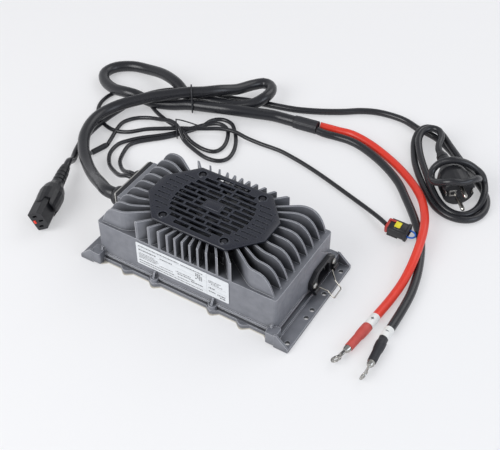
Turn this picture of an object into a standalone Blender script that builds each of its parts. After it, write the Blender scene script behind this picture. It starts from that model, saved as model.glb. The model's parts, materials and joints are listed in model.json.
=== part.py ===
"""Forklift battery charger: a finned die-cast housing with a fan grille, its electronics and all its leads.

Axes: +X towards the mains inlet end, -Y towards the side with the rating label, +Z up.
The origin is on the floor under the middle of the base. Lengths are in metres.
"""

import math

import bmesh
import bpy
from mathutils import Matrix, Vector

MM = 0.001

# General clearances and walls
GAP = 0.3 * MM
WALL = 3.0 * MM
DECK_THICKNESS = 3.4 * MM

# Housing body
BODY_LENGTH = 211.2 * MM
BODY_WIDTH = 111.4 * MM
HALF_LENGTH = BODY_LENGTH / 2
HALF_WIDTH = BODY_WIDTH / 2
DECK_TOP = 52.2 * MM
BODY_CORNER_RADIUS = 3.0 * MM
CORNER_STEPS = 3

# Base cover, flange and feet
COVER_THICKNESS = 1.5 * MM
FLANGE_TOP = 6.5 * MM
FLANGE_REACH_SIDE = 3.5 * MM
FLANGE_REACH_END = 5.4 * MM
LOBE_REACH = 4.3 * MM
LOBE_HALF_WIDTH = 9.0 * MM
LOBE_PITCH = 35.2 * MM
CORNER_LOBE_X = HALF_LENGTH - 3.6 * MM
CORNER_LOBE_Y = HALF_WIDTH + 4.8 * MM
BEAD_RADIUS = 1.6 * MM
BEAD_HEIGHT = 10.2 * MM
BEAD_REACH = 0.5 * MM
BOSS_RADIUS = 4.6 * MM
BOSS_TOP = 11.5 * MM
BOSS_REACH = 2.9 * MM
RIB_THICKNESS = 2.0 * MM
RIB_TOP = 17.0 * MM
EAR_TIP = HALF_LENGTH + 19.6 * MM
EAR_SIDE_REACH = 10.7 * MM
EAR_HALF_WIDTH = HALF_WIDTH + EAR_SIDE_REACH
EAR_THICKNESS = 4.0 * MM
EAR_HOLE_RADIUS = 2.75 * MM
EAR_HOLE_X = EAR_TIP - 5.2 * MM
EAR_HOLE_PLACES = (53.7 * MM, 17.3 * MM, -8.2 * MM, -20.2 * MM, -57.7 * MM)
GUSSET_TOP = 17.0 * MM
GUSSET_TIP = 4.8 * MM
GUSSET_THICKNESS = 2.4 * MM
BLOCK_START = HALF_LENGTH - 6.1 * MM
BLOCK_TOP = 16.0 * MM

# Cooling fins
FIN_TOP = 76.0 * MM
FIN_HALF_THICKNESS = 1.05 * MM
END_FIN_PITCH = 12.85 * MM
END_FIN_COUNT = 9
END_FIN_FOOT = HALF_LENGTH - 4.8 * MM
END_FIN_BEND = END_FIN_FOOT - 26.8 * MM
END_FIN_CROWN = END_FIN_FOOT - 20.8 * MM
BEND_SPAN = 6.0 * MM
SIDE_FIN_STEP = math.radians(8.9)
SIDE_FIN_COUNT = 11
SIDE_FIN_CORNER = 2.0 * MM
FIN_SINK = 1.0 * MM
OVERLAP = 1.0 * MM
STEP = 0.12 * MM

# Fan and its grille
FAN_SIZE = 80.0 * MM
FAN_DEPTH = 15.0 * MM
FAN_SCREW_PITCH = FAN_SIZE - 8.5 * MM
FAN_BORE_RADIUS = FAN_SIZE / 2 - 2.0 * MM
FAN_CORNER_HOLE = 2.4 * MM
FAN_ROOM = 1.2 * MM
HUB_RADIUS = FAN_BORE_RADIUS - 21.0 * MM
BLADE_COUNT = 7
BLADE_TIP_RADIUS = FAN_BORE_RADIUS - 1.6 * MM
BLADE_SWEEP = math.radians(42.0)
BLADE_RISE = 8.6 * MM
BLADE_THICKNESS = 1.2 * MM
MOTOR_CUP_DEPTH = 2.4 * MM
STRUT_HALF_WIDTH = 1.6 * MM
GRILLE_THICKNESS = 3.2 * MM
GRILLE_HALF_LENGTH = 69.0 * MM
GRILLE_HALF_WIDTH = 45.3 * MM
GRILLE_SHORT_SIDE = 14.5 * MM
GRILLE_LONG_SIDE = 42.5 * MM
GRILLE_CORNER_RADIUS = 2.5 * MM
SLOT_PITCH = 5.0 * MM
SLOT_HALF_WIDTH = 1.45 * MM
SLOT_RUN = 19.0 * MM
BRIDGE = 2.0 * MM
GROOVE_DEPTH = 1.1 * MM
GRILLE_MARGIN = 5.0 * MM
NAMEPLATE = (8.5 * MM, 5.0 * MM, 0.6 * MM)
SCREW_HEAD_RADIUS = 3.6 * MM
SCREW_HEAD_HEIGHT = 2.2 * MM
SCREW_SHAFT_RADIUS = 1.9 * MM
POST_RADIUS = 4.4 * MM

# Gland end
HOOD_OUT = HALF_LENGTH - 4.6 * MM
HOOD_IN = HOOD_OUT - 5.5 * MM
HOOD_TOP = 65.0 * MM
HOOD_NEAR = -25.7 * MM
HOOD_FAR = 38.5 * MM
GLAND_PLATE_THICKNESS = 1.2 * MM
GLAND_PLATE_BOTTOM = 20.0 * MM
GLAND_HEIGHT = 48.0 * MM
OUTPUT_GLAND_Y = -9.0 * MM
SIGNAL_GLAND_Y = 25.0 * MM
OUTPUT_THREAD_RADIUS = 9.0 * MM
SIGNAL_THREAD_RADIUS = 6.5 * MM
GLAND_HEX_HEIGHT = 3.4 * MM
GLAND_NUT_HEIGHT = 7.4 * MM

# Mains inlet
INLET_Y = 28.9 * MM
INLET_Z = 19.4 * MM
INLET_FLANGE_HALF_LENGTH = 24.4 * MM
INLET_FLANGE_HALF_HEIGHT = 12.5 * MM
INLET_FLANGE_THICKNESS = 3.0 * MM
INLET_GASKET_THICKNESS = 0.9 * MM
INLET_SCREW_OFFSET = 20.0 * MM
INLET_PINS = ("earth_pin", "line_pin", "neutral_pin")
INLET_BODY_DEPTH = 20.0 * MM
INLET_BODY_HALF = (13.6 * MM, 9.3 * MM)
SOCKET_HALF = (12.2 * MM, 8.4 * MM)
SOCKET_DEPTH = 17.0 * MM
POD_FACE = HALF_LENGTH + 2.0 * MM
BAIL_WIRE_RADIUS = 0.75 * MM
BAIL_PIVOT_X = POD_FACE + 7.4 * MM
BAIL_PIVOT_Z = INLET_Z - 6.5 * MM
SLEEVE_RADIUS = 2.6 * MM

# Circuit board
BOARD_HALF = (HALF_LENGTH - 7.6 * MM, HALF_WIDTH - 6.7 * MM)
BOARD_THICKNESS = 1.6 * MM
BOARD_BOTTOM = 7.0 * MM
STANDOFF_RADIUS = 3.6 * MM
STANDOFF_X = BOARD_HALF[0] - 8.0 * MM
STANDOFF_Y = BOARD_HALF[1] - 4.0 * MM
STANDOFF_PLACES = ((-STANDOFF_X, STANDOFF_Y), (0.0, STANDOFF_Y), (STANDOFF_X - 14.0 * MM, STANDOFF_Y),
                   (-STANDOFF_X, 3.0 * MM - STANDOFF_Y), (14.0 * MM, -STANDOFF_Y), (STANDOFF_X, -STANDOFF_Y))
TERMINALS_X = -(BOARD_HALF[0] - 14.0 * MM)

# Rating label
LABEL_X = (-57.0 * MM, 53.2 * MM)
LABEL_Z = (19.2 * MM, 48.8 * MM)
LABEL_THICKNESS = 0.3 * MM

# Cords
OUTPUT_RADIUS = 7.0 * MM
LEAD_RADIUS = 4.7 * MM
SIGNAL_RADIUS = 2.5 * MM
MAINS_RADIUS = 4.0 * MM

OUTPUT_ROUTE = (
    (-119.8, -9, 48), (-130, -8.4, 47.6), (-148, 3, 40), (-175, 22, 26), (-200, 41, 18.5), (-223, 62, 16.4),
    (-241, 88, 16.4), (-249, 120, 16.5), (-240, 150, 18), (-215, 176, 23), (-196, 192, 24.8), (-177, 209.3, 25.2),
    (-160, 221, 25.2), (-145, 236, 24.2), (-133, 256, 18), (-124, 277, 15), (-113, 289, 15),
    (-101, 286, 16), (-94, 273, 17.5), (-95, 258, 17), (-104, 246, 12.5), (-120, 237, 9),
    (-140, 231, 9.2), (-160, 226, 10.0), (-182, 220, 10.6), (-206, 229, 17), (-234, 239, 15),
    (-262, 244, 9.5), (-286, 241, 8), (-304, 228, 7.5), (-308, 210, 7.5), (-295, 194, 8.5),
    (-272, 183, 12), (-250, 180, 16.6), (-237, 182, 16.2), (-222, 186.5, 10.5), (-209, 191, 8), (-190, 198, 8.6),
    (-172, 206, 10.6), (-150, 212, 12), (-120, 220, 14), (-92, 232, 12), (-72, 242.6, 9), (-56, 245.6, 8.3),
    (-44.45, 246.95, 8.3))
TIE_RADIUS = 0.9 * MM
TIE_CENTRE = (-174.0, 215.0, 0.0)
TIE_HEADING = math.radians(35.0)
TIE_RUNS = ((7.3, 10.6, 8.8), (-9.4, 10.7, 8.0), (-2.8, 25.2, 7.6))
SLEEVE_ROUTE = ((-44, 247, 8.3), (-30, 249, 8.3), (-14, 250.5, 8.3))
POSITIVE_ROUTE = (
    (-13.4, 255.6, 8.3), (-2, 259.5, 6.5), (8, 262.5, 5), (28, 265, 4.9), (57, 258, 4.9), (91, 242.5, 4.9),
    (120, 223, 6), (144, 199, 9), (161, 171, 13), (172, 142, 15.5), (179, 108, 13.5), (182, 75, 8),
    (181, 47, 5.2), (178.6, 19.3, 5.1), (177.9, 8.5, 5.2))
NEGATIVE_ROUTE = (
    (-12.2, 245.6, 8.3), (-2, 247, 6.5), (10, 250.5, 5), (30, 252, 4.9), (52, 247, 4.9), (82, 233, 4.9),
    (110, 213.5, 4.9), (132, 190, 4.9), (153, 165, 4.9), (172, 138, 4.9), (186, 102, 4.9),
    (194, 68, 4.9), (196.5, 40, 4.9), (197, 8.3, 5.1), (196.7, -2.5, 5.2))
POSITIVE_BOOT = ((177.8, 7.7, 5.3), (176.6, -10, 5.6), (173.3, -33.6, 5.8))
POSITIVE_LUG = ((173.1, -34.4, 5.8), (168.6, -52, 4.6))
NEGATIVE_BOOT = ((196.6, -3.3, 5.3), (197.5, -18, 5.6), (199.6, -37.7, 5.8))
NEGATIVE_LUG = ((199.7, -38.4, 5.8), (200.6, -56, 6.8))
SIGNAL_ROUTE = (
    (-119.4, 22.2, 48), (-128, 22.4, 46.8), (-141, 27, 38), (-162, 42, 24), (-186, 62, 10), (-203, 84, 3.4),
    (-206, 103, 2.8), (-199.5, 116, 2.8))
LAMP_ROUTE_OUT = (
    (-119.4, 27.8, 48), (-128, 29.2, 46.2), (-142, 38, 35), (-160, 53, 21), (-180, 74, 8), (-190, 92, 3.1),
    (-193.5, 108, 2.9), (-190.6, 117, 2.9))
LAMP_ROUTE_BACK = ((-207.6, 125.2, 2.9), (-211, 119, 2.9), (-214, 108, 3.2), (-215.8, 95.6, 3.6))
LAMP_SLEEVE = ((-216, 95, 3.6), (-222, 74.5, 3.6))
LAMP_LENS = ((-222.2, 74, 3.6), (-226.6, 58, 3.6))
CONNECTOR_ROUTE = (
    (-89.4, 183.4, 2.8), (-79, 187.6, 2.8), (-60, 193.5, 2.8), (-34, 194, 2.8), (-10, 190, 2.8), (13, 184.5, 2.8),
    (38, 177, 2.8), (62, 169, 2.8), (82, 162, 3), (100, 155, 4), (118, 146, 6.5), (131, 138.5, 8.3))
SIGNAL_HANK_OUTLINE = (
    (-206, 126), (-202, 118), (-190, 120), (-176, 133), (-166, 146), (-154, 152), (-136, 149), (-116, 140),
    (-96, 135), (-83, 139), (-78, 150), (-82, 168), (-90, 184), (-101, 197), (-116, 201.5), (-132, 198),
    (-148, 186), (-160, 176), (-172, 165), (-188, 155), (-202, 143))
SIGNAL_HANK_HEIGHT = 8.0
MAINS_ROUTE = (
    (-221.2, 27.1, 15), (-225.4, 37.6, 14.2), (-231, 50, 6), (-239, 66, 4.3), (-245.5, 85, 4.3), (-249, 108, 4.3),
    (-249, 135, 4.3), (-246, 160, 4.3), (-242, 182, 4.3), (-234, 203, 4.3), (-220, 221, 4.3), (-204, 233, 4.3),
    (-184, 243, 4.3), (-160, 248, 4.3), (-138, 252, 4.3), (-117, 259, 4.3), (-98, 264, 4.3), (-80, 268, 4.3),
    (-60, 273, 4.3), (-42, 280, 4.3), (-22, 290, 4.3), (-4, 301, 4.3), (14, 314, 4.3), (32, 322, 4.3),
    (52, 325, 4.3), (74, 321.5, 4.3), (90.3, 314.9, 4.6))
MAINS_HANK_ENDS = ((119.0, 297.0), (183.1, 220.9))
MAINS_HANK_RADIUS = 33.0
MAINS_HANK_WALL = 9.5
MAINS_HANK_HEIGHT = 17.0
PLUG_RADIUS = 18.8 * MM
PLUG_LENGTH = 69.0 * MM
PLUG_ALONG = 33.3 * MM
PLUG_ROOM = 0.5 * MM
PLUG_PIN_OFFSET = 9.5 * MM
PLUG_PIN_RADIUS = 2.4 * MM
PLUG_PIN_LENGTH = 19.0 * MM
PLUG_EARTH_OFFSET = 16.6 * MM
PLUG_BOOT_RINGS = 4
CONNECTOR_REAR = (-221.0, 26.6)
CONNECTOR_AXIS_HEIGHT = 15.0

FINISHES = {
    "cast_grey": ((0.215, 0.222, 0.232), 0.48, 0.35),
    "black_plastic": ((0.022, 0.023, 0.027), 0.42, 0.0),
    "black_rubber": ((0.018, 0.018, 0.020), 0.62, 0.0),
    "cable_black": ((0.020, 0.021, 0.025), 0.34, 0.0),
    "cable_red": ((0.72, 0.035, 0.02), 0.36, 0.0),
    "dull_red": ((0.50, 0.03, 0.02), 0.55, 0.0),
    "tinned_metal": ((0.72, 0.71, 0.68), 0.26, 1.0),
    "sheet_aluminium": ((0.74, 0.75, 0.76), 0.34, 1.0),
    "white_label": ((0.80, 0.81, 0.82), 0.40, 0.0),
    "yellow_plastic": ((0.80, 0.66, 0.03), 0.40, 0.0),
    "green_board": ((0.02, 0.16, 0.07), 0.50, 0.0),
    "ferrite": ((0.03, 0.03, 0.033), 0.60, 0.1),
    "copper_wire": ((0.60, 0.26, 0.10), 0.34, 0.9),
    "capacitor_sleeve": ((0.02, 0.05, 0.18), 0.38, 0.0),
    "brass": ((0.62, 0.46, 0.18), 0.30, 1.0),
    "clear_lens": ((0.70, 0.73, 0.74), 0.20, 0.0),
}


def start_scene():
    """Remove what the scene holds and make the two collections."""
    for thing in list(bpy.data.objects):
        bpy.data.objects.remove(thing, do_unlink=True)
    parts = bpy.data.collections.new("forklift_battery_charger")
    cutters = bpy.data.collections.new("cutters")
    bpy.context.scene.collection.children.link(parts)
    bpy.context.scene.collection.children.link(cutters)
    return parts, cutters


PARTS, CUTTERS = start_scene()


def finish(name):
    """Return the material of that name, made once."""
    if name in bpy.data.materials:
        return bpy.data.materials[name]
    colour, roughness, metallic = FINISHES[name]
    material = bpy.data.materials.new(name)
    material.use_nodes = True
    shader = material.node_tree.nodes["Principled BSDF"]
    shader.inputs["Base Color"].default_value = (*colour, 1.0)
    shader.inputs["Roughness"].default_value = roughness
    shader.inputs["Metallic"].default_value = metallic
    material.diffuse_color = (*colour, 1.0)
    return material


def link(thing, finish_name=None):
    """Put a piece among the parts with its finish, or among the cutters when it has none."""
    if finish_name is None:
        CUTTERS.objects.link(thing)
        thing.hide_render = True
        thing.display_type = "WIRE"
    else:
        PARTS.objects.link(thing)
        thing.data.materials.append(finish(finish_name))
    return thing


def mesh_object(name, mesh_data, finish_name=None):
    """Make an object from bmesh data and free it."""
    mesh = bpy.data.meshes.new(name)
    mesh_data.to_mesh(mesh)
    mesh_data.free()
    mesh.shade_smooth()
    mesh.set_sharp_from_angle(angle=math.radians(32.0))
    return link(bpy.data.objects.new(name, mesh), finish_name)


def curve_as_mesh(curve, frame):
    """Return welded bmesh data of a curve, moved by frame, and remove the curve."""
    holder = bpy.data.objects.new(curve.name, curve)
    bpy.context.scene.collection.objects.link(holder)
    bpy.context.view_layer.update()
    graph = bpy.context.evaluated_depsgraph_get()
    mesh = bpy.data.meshes.new_from_object(holder.evaluated_get(graph))
    data = bmesh.new()
    data.from_mesh(mesh)
    bmesh.ops.remove_doubles(data, verts=data.verts, dist=1e-6)
    bmesh.ops.dissolve_degenerate(data, dist=1e-6, edges=data.edges)
    bmesh.ops.dissolve_limit(data, angle_limit=0.001, verts=data.verts, edges=data.edges)
    bmesh.ops.transform(data, matrix=frame, verts=data.verts)
    bmesh.ops.recalc_face_normals(data, faces=data.faces)
    bpy.data.objects.remove(holder, do_unlink=True)
    bpy.data.meshes.remove(mesh)
    return data


def prism(name, outlines, low, high, finish_name=None, frame=None):
    """Extrude flat outlines from low to high; an outline inside another is a hole."""
    curve = bpy.data.curves.new(name, "CURVE")
    curve.dimensions = "2D"
    curve.fill_mode = "BOTH"
    curve.extrude = (high - low) / 2
    for outline in outlines:
        spline = curve.splines.new("POLY")
        spline.points.add(len(outline) - 1)
        for point, place in zip(spline.points, outline):
            point.co = (place[0], place[1], 0.0, 1.0)
        spline.use_cyclic_u = True
    lift = Matrix.Translation((0, 0, (high + low) / 2))
    place = lift if frame is None else frame @ lift
    return mesh_object(name, curve_as_mesh(curve, place), finish_name)


# Local X and Y become world X and Z, so that local Z runs along -Y
FACING_SIDE = Matrix(((1, 0, 0, 0), (0, 0, -1, 0), (0, 1, 0, 0), (0, 0, 0, 1)))
# Local X and Y become world Y and Z, so that local Z runs along +X
FACING_END = Matrix(((0, 0, 1, 0), (1, 0, 0, 0), (0, 1, 0, 0), (0, 0, 0, 1)))


def side_prism(name, outlines, low_y, high_y, finish_name=None):
    """Extrude outlines given in X and Z along Y."""
    return prism(name, outlines, -high_y, -low_y, finish_name, FACING_SIDE)


def end_prism(name, outlines, low_x, high_x, finish_name=None):
    """Extrude outlines given in Y and Z along X."""
    return prism(name, outlines, low_x, high_x, finish_name, FACING_END)


def rectangle(centre, half):
    """Return the corners of a rectangle."""
    return [(centre[0] + sx * half[0], centre[1] + sy * half[1]) for sx, sy in ((-1, -1), (1, -1), (1, 1), (-1, 1))]


def arc(centre, radius, start, stop, steps):
    """Return points along an arc, both ends included."""
    return [(centre[0] + radius * math.cos(start + (stop - start) * step / steps),
             centre[1] + radius * math.sin(start + (stop - start) * step / steps)) for step in range(steps + 1)]


def circle(centre, radius, sides=16):
    """Return the corners of a regular polygon."""
    return arc(centre, radius, 0.0, math.tau * (sides - 1) / sides, sides - 1)


def rounded(corners, radius, steps=CORNER_STEPS):
    """Return an outline with each corner of a convex polygon, given anticlockwise, rounded."""
    outline = []
    count = len(corners)
    for index in range(count):
        before, here, after = (Vector(corners[(index + shift) % count]) for shift in (-1, 0, 1))
        incoming = (here - before).normalized()
        outgoing = (after - here).normalized()
        turn = math.acos(max(-1.0, min(1.0, incoming.dot(outgoing))))
        setback = radius * math.tan(turn / 2)
        first = here - incoming * setback
        centre = first + Vector((-incoming.y, incoming.x)) * radius
        start = math.atan2(first.y - centre.y, first.x - centre.x)
        outline += arc(centre, radius, start, start + turn, steps)
    return outline


def strip(path, half_width):
    """Return the outline of a strip of constant width along an open path."""
    left, right = [], []
    for index, point in enumerate(path):
        here = Vector(point)
        before = here - Vector(path[index - 1]) if index else None
        after = Vector(path[index + 1]) - here if index < len(path) - 1 else None
        ways = [way.normalized() for way in (before, after) if way is not None]
        along = sum(ways, Vector((0, 0))).normalized()
        across = Vector((-along.y, along.x)) * (half_width / max(0.5, along.dot(ways[0])))
        left.append(tuple(here + across))
        right.append(tuple(here - across))
    return left + right[::-1]


def lathe(name, profile, finish_name=None, steps=16, frame=None):
    """Turn a profile of (radius, height), given top to bottom, about the local Z axis."""
    data = bmesh.new()
    points = [data.verts.new((radius, 0.0, height)) for radius, height in profile]
    for first, second in zip(points, points[1:]):
        data.edges.new((first, second))
    mesh = bpy.data.meshes.new(name)
    data.to_mesh(mesh)
    data.free()
    turned = bpy.data.objects.new(name, mesh)
    bpy.context.scene.collection.objects.link(turned)
    screw = turned.modifiers.new("turn", "SCREW")
    screw.steps = steps
    screw.render_steps = steps
    screw.use_merge_vertices = True
    screw.merge_threshold = 1e-6
    bpy.context.view_layer.update()
    graph = bpy.context.evaluated_depsgraph_get()
    solid = bpy.data.meshes.new_from_object(turned.evaluated_get(graph))
    data = bmesh.new()
    data.from_mesh(solid)
    bmesh.ops.remove_doubles(data, verts=data.verts, dist=1e-6)
    bmesh.ops.transform(data, matrix=frame or Matrix.Identity(4), verts=data.verts)
    bmesh.ops.recalc_face_normals(data, faces=data.faces)
    bpy.data.objects.remove(turned, do_unlink=True)
    bpy.data.meshes.remove(solid)
    return mesh_object(name, data, finish_name)


def combine(target, others, operation="UNION"):
    """Add Boolean modifiers that join others to the target or cut them from it."""
    for other in others:
        step = target.modifiers.new(f"{operation.lower()}_{other.name}", "BOOLEAN")
        step.operation = operation
        step.solver = "EXACT"
        step.object = other
        if other.name in PARTS.objects:
            PARTS.objects.unlink(other)
            CUTTERS.objects.link(other)
        other.hide_render = True
        other.display_type = "WIRE"
    return target


def smooth_route(points, spacing):
    """Read evenly spaced places from a smooth curve through route points given in millimetres."""
    stops = [Vector(point) * MM for point in points]
    ends = [2 * stops[0] - stops[1]] + stops + [2 * stops[-1] - stops[-2]]
    fine = []
    for index in range(1, len(ends) - 2):
        before, start, stop, after = ends[index - 1:index + 3]
        for step in range(12):
            t = step / 12
            fine.append(0.5 * (2 * start + (stop - before) * t
                               + (2 * before - 5 * start + 4 * stop - after) * t ** 2
                               + (3 * start - before - 3 * stop + after) * t ** 3))
    fine.append(stops[-1])
    travelled = [0.0]
    for first, second in zip(fine, fine[1:]):
        travelled.append(travelled[-1] + (second - first).length)
    count = max(2, round(travelled[-1] / spacing))
    places = []
    cursor = 0
    for number in range(count + 1):
        wanted = travelled[-1] * number / count
        while cursor < len(fine) - 2 and travelled[cursor + 1] < wanted:
            cursor += 1
        share = (wanted - travelled[cursor]) / (travelled[cursor + 1] - travelled[cursor])
        places.append(fine[cursor].lerp(fine[cursor + 1], share))
    return places


def tube(name, runs, radius, finish_name, resolution=3, cyclic=False):
    """Make a round cord, wire or rail along each run of places."""
    curve = bpy.data.curves.new(name, "CURVE")
    curve.dimensions = "3D"
    curve.bevel_depth = radius
    curve.bevel_resolution = resolution
    curve.use_fill_caps = True
    for run in runs:
        spline = curve.splines.new("POLY")
        spline.points.add(len(run) - 1)
        for point, place in zip(spline.points, run):
            point.co = (*place, 1.0)
        spline.use_cyclic_u = cyclic
        spline.use_smooth = True
    thing = bpy.data.objects.new(name, curve)
    PARTS.objects.link(thing)
    curve.materials.append(finish(finish_name))
    return thing


def tube_solid(name, run, radius, resolution=2, cyclic=False):
    """Make a tube as a mesh that can be joined or cut."""
    holder = tube(name, [run], radius, "cast_grey", resolution, cyclic)
    curve = holder.data
    bpy.data.objects.remove(holder, do_unlink=True)
    curve.materials.clear()
    return mesh_object(name, curve_as_mesh(curve, Matrix.Identity(4)))


def cord(name, routes, radius, finish_name, resolution=3, pitch=1.4):
    """Make a cord's tubes from route points in millimetres."""
    return tube(name, [smooth_route(route, pitch * 2 * radius) for route in routes], radius, finish_name, resolution)


def hull(name, points, finish_name=None):
    """Make the convex solid around points."""
    data = bmesh.new()
    for point in points:
        data.verts.new(point)
    made = bmesh.ops.convex_hull(data, input=data.verts)
    inside = {item for item in made["geom_interior"] + made["geom_unused"] if isinstance(item, bmesh.types.BMVert)}
    bmesh.ops.delete(data, geom=list(inside), context="VERTS")
    bmesh.ops.recalc_face_normals(data, faces=data.faces)
    return mesh_object(name, data, finish_name)


def aim(start, stop, roll=0.0):
    """Return the frame at start whose Z axis points to stop, both in metres."""
    start, stop = Vector(start), Vector(stop)
    turn = (stop - start).to_track_quat("Z", "Y").to_matrix().to_4x4()
    return Matrix.Translation(start) @ turn @ Matrix.Rotation(roll, 4, "Z")


def lobes(name, places, base, reach, end, low, high):
    """Make the round swellings along both long edges of a plate, none past its end."""
    swellings = []
    for number, place in enumerate(places):
        crest = [(place - LOBE_HALF_WIDTH, base - OVERLAP)]
        for step in range(-3, 4):
            swell = 0.5 + 0.5 * math.cos(math.pi * step / 4)
            crest.append((place + LOBE_HALF_WIDTH * step / 4, base + reach * swell))
        crest.append((place + LOBE_HALF_WIDTH, base - OVERLAP))
        for side in (-1, 1):
            outline = [(max(-end, min(end, x)), side * y) for x, y in crest]
            swellings.append(prism(f"{name}_{number}_{side}", [outline], low, high))
    return swellings


SIDE_LOBES = tuple(sign * LOBE_PITCH * count for sign in (-1, 1) for count in (1, 2))
SCREW_LOBES = (-LOBE_PITCH, LOBE_PITCH)
FLANGE_BOTTOM = COVER_THICKNESS + GAP
CAVITY_TOP = DECK_TOP - DECK_THICKNESS
FAN_TOP = FIN_TOP
FAN_BOTTOM = FAN_TOP - FAN_DEPTH
GRILLE_BOTTOM = FIN_TOP + GAP
GRILLE_TOP = GRILLE_BOTTOM + GRILLE_THICKNESS
FAN_SCREWS = tuple((sx * FAN_SCREW_PITCH / 2, sy * FAN_SCREW_PITCH / 2) for sx in (-1, 1) for sy in (-1, 1))
COVER_SCREWS = tuple((x, sy * (HALF_WIDTH + BOSS_REACH)) for x in SCREW_LOBES for sy in (-1, 1)) + \
    tuple((sx * CORNER_LOBE_X, sy * CORNER_LOBE_Y) for sx in (-1, 1) for sy in (-1, 1))
BOARD_TOP = BOARD_BOTTOM + BOARD_THICKNESS
INLET_FACE = POD_FACE + GAP + INLET_GASKET_THICKNESS + GAP + INLET_FLANGE_THICKNESS
INLET_BACK = INLET_FACE - INLET_FLANGE_THICKNESS - INLET_BODY_DEPTH
GLAND_PLATE_X = (-HALF_LENGTH - GAP - GLAND_PLATE_THICKNESS, -HALF_LENGTH - GAP)


def end_fin_paths():
    """Return the plan of each end fin: straight from the foot, then bent towards the fan's centre."""
    paths = []
    for end in (-1, 1):
        for number in range(END_FIN_COUNT):
            y = (number - (END_FIN_COUNT - 1) / 2) * END_FIN_PITCH
            toward = Vector((END_FIN_BEND, y)).normalized()
            bend = Vector((END_FIN_BEND, y))
            inner = bend - toward * ((END_FIN_BEND - FAN_SIZE / 2 + 2 * MM) / max(toward.x, 0.5))
            path = [(END_FIN_FOOT + 2 * MM, y), (END_FIN_BEND + BEND_SPAN, y)]
            for t in (0.33, 0.67):
                first = Vector((END_FIN_BEND + BEND_SPAN, y)).lerp(bend, t)
                second = bend.lerp(bend - toward * BEND_SPAN, t)
                path.append(tuple(first.lerp(second, t)))
            path += [tuple(bend - toward * BEND_SPAN), tuple(inner)]
            paths.append([(end * x, place_y) for x, place_y in path])
    return paths


def side_fin_paths():
    """Return the plan of each fin on the long sides, which all point to the fan's centre."""
    paths = []
    for side in (-1, 1):
        for number in range(SIDE_FIN_COUNT):
            slope = math.tan((number - (SIDE_FIN_COUNT - 1) / 2) * SIDE_FIN_STEP)
            outer = (HALF_WIDTH + 2 * MM, FAN_SIZE / 2 - 2 * MM)
            paths.append([(slope * y, side * y) for y in outer])
    return paths


def fin_crown():
    """Return the fins' side view: a foot on the deck, a steep curve and a flat top."""
    start, first, second, stop = (Vector(place) for place in (
        (END_FIN_FOOT, DECK_TOP), (END_FIN_FOOT - 3.6 * MM, DECK_TOP + 11.8 * MM),
        (END_FIN_CROWN + 13.0 * MM, FIN_TOP), (END_FIN_CROWN, FIN_TOP)))
    curve = []
    for step in range(9):
        t = step / 8
        curve.append(tuple(start * (1 - t) ** 3 + 3 * first * t * (1 - t) ** 2
                           + 3 * second * t ** 2 * (1 - t) + stop * t ** 3))
    right = [(END_FIN_FOOT, DECK_TOP - FIN_SINK)] + curve
    return right + [(-x, z) for x, z in reversed(right)]


def build_fins():
    """Cut all fins from plates in plan by their common crown, with room for the fan."""
    plates = prism("fin_plates", [strip(path, FIN_HALF_THICKNESS) for path in end_fin_paths() + side_fin_paths()],
                   DECK_TOP - 2 * FIN_SINK, FIN_TOP + 5 * MM)
    crown = side_prism("fin_crown", [fin_crown()], -HALF_WIDTH + STEP, HALF_WIDTH - STEP)
    edge = crown.modifiers.new("fin_corner", "BEVEL")
    edge.width = SIDE_FIN_CORNER
    edge.segments = 2
    edge.limit_method = "ANGLE"
    edge.angle_limit = math.radians(60.0)
    combine(plates, [crown], "INTERSECT")
    room = FAN_SIZE / 2 + FAN_ROOM
    pocket = prism("fan_room", [rectangle((0, 0), (room, room))], DECK_TOP - 4 * MM, FIN_TOP + 9 * MM)
    return combine(plates, [pocket], "DIFFERENCE")


def build_pod():
    """Loft the raised pad under the mains inlet from the end wall to its face."""
    base = [(y * MM, z * MM) for y, z in ((-9, 35), (5.4, 41.6), (33, 41.6), (49, 28), (54, 22), (54, 8), (-3, 8), (-9, 14))]
    face = inlet_outline(1.2 * MM)
    points = [(HALF_LENGTH - WALL / 2, y, z) for y, z in base]
    points += [(HALF_LENGTH, y, z) for y, z in base]
    points += [(POD_FACE, y, z) for y, z in face]
    return hull("inlet_pod", points)


def inlet_outline(margin=0.0):
    """Return the inlet flange's six-sided outline in Y and Z, with rounded corners."""
    length, height = INLET_FLANGE_HALF_LENGTH + margin, INLET_FLANGE_HALF_HEIGHT + margin
    flat = length - 11.0 * MM
    tip = 5.0 * MM
    corners = [(-flat, -height), (flat, -height), (length, -tip), (length, tip),
               (flat, height), (-flat, height), (-length, tip), (-length, -tip)]
    return [(INLET_Y + y, INLET_Z + z) for y, z in rounded(corners, 2.5 * MM, 2)]


def inlet_socket(half, chamfer):
    """Return the socket's outline: a rectangle with its two upper corners cut off."""
    width, height = half
    corners = ((-width, -height), (width, -height), (width, height - chamfer), (width - chamfer, height),
               (-width + chamfer, height), (-width, height - chamfer))
    return [(INLET_Y + y, INLET_Z + z) for y, z in corners]


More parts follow.
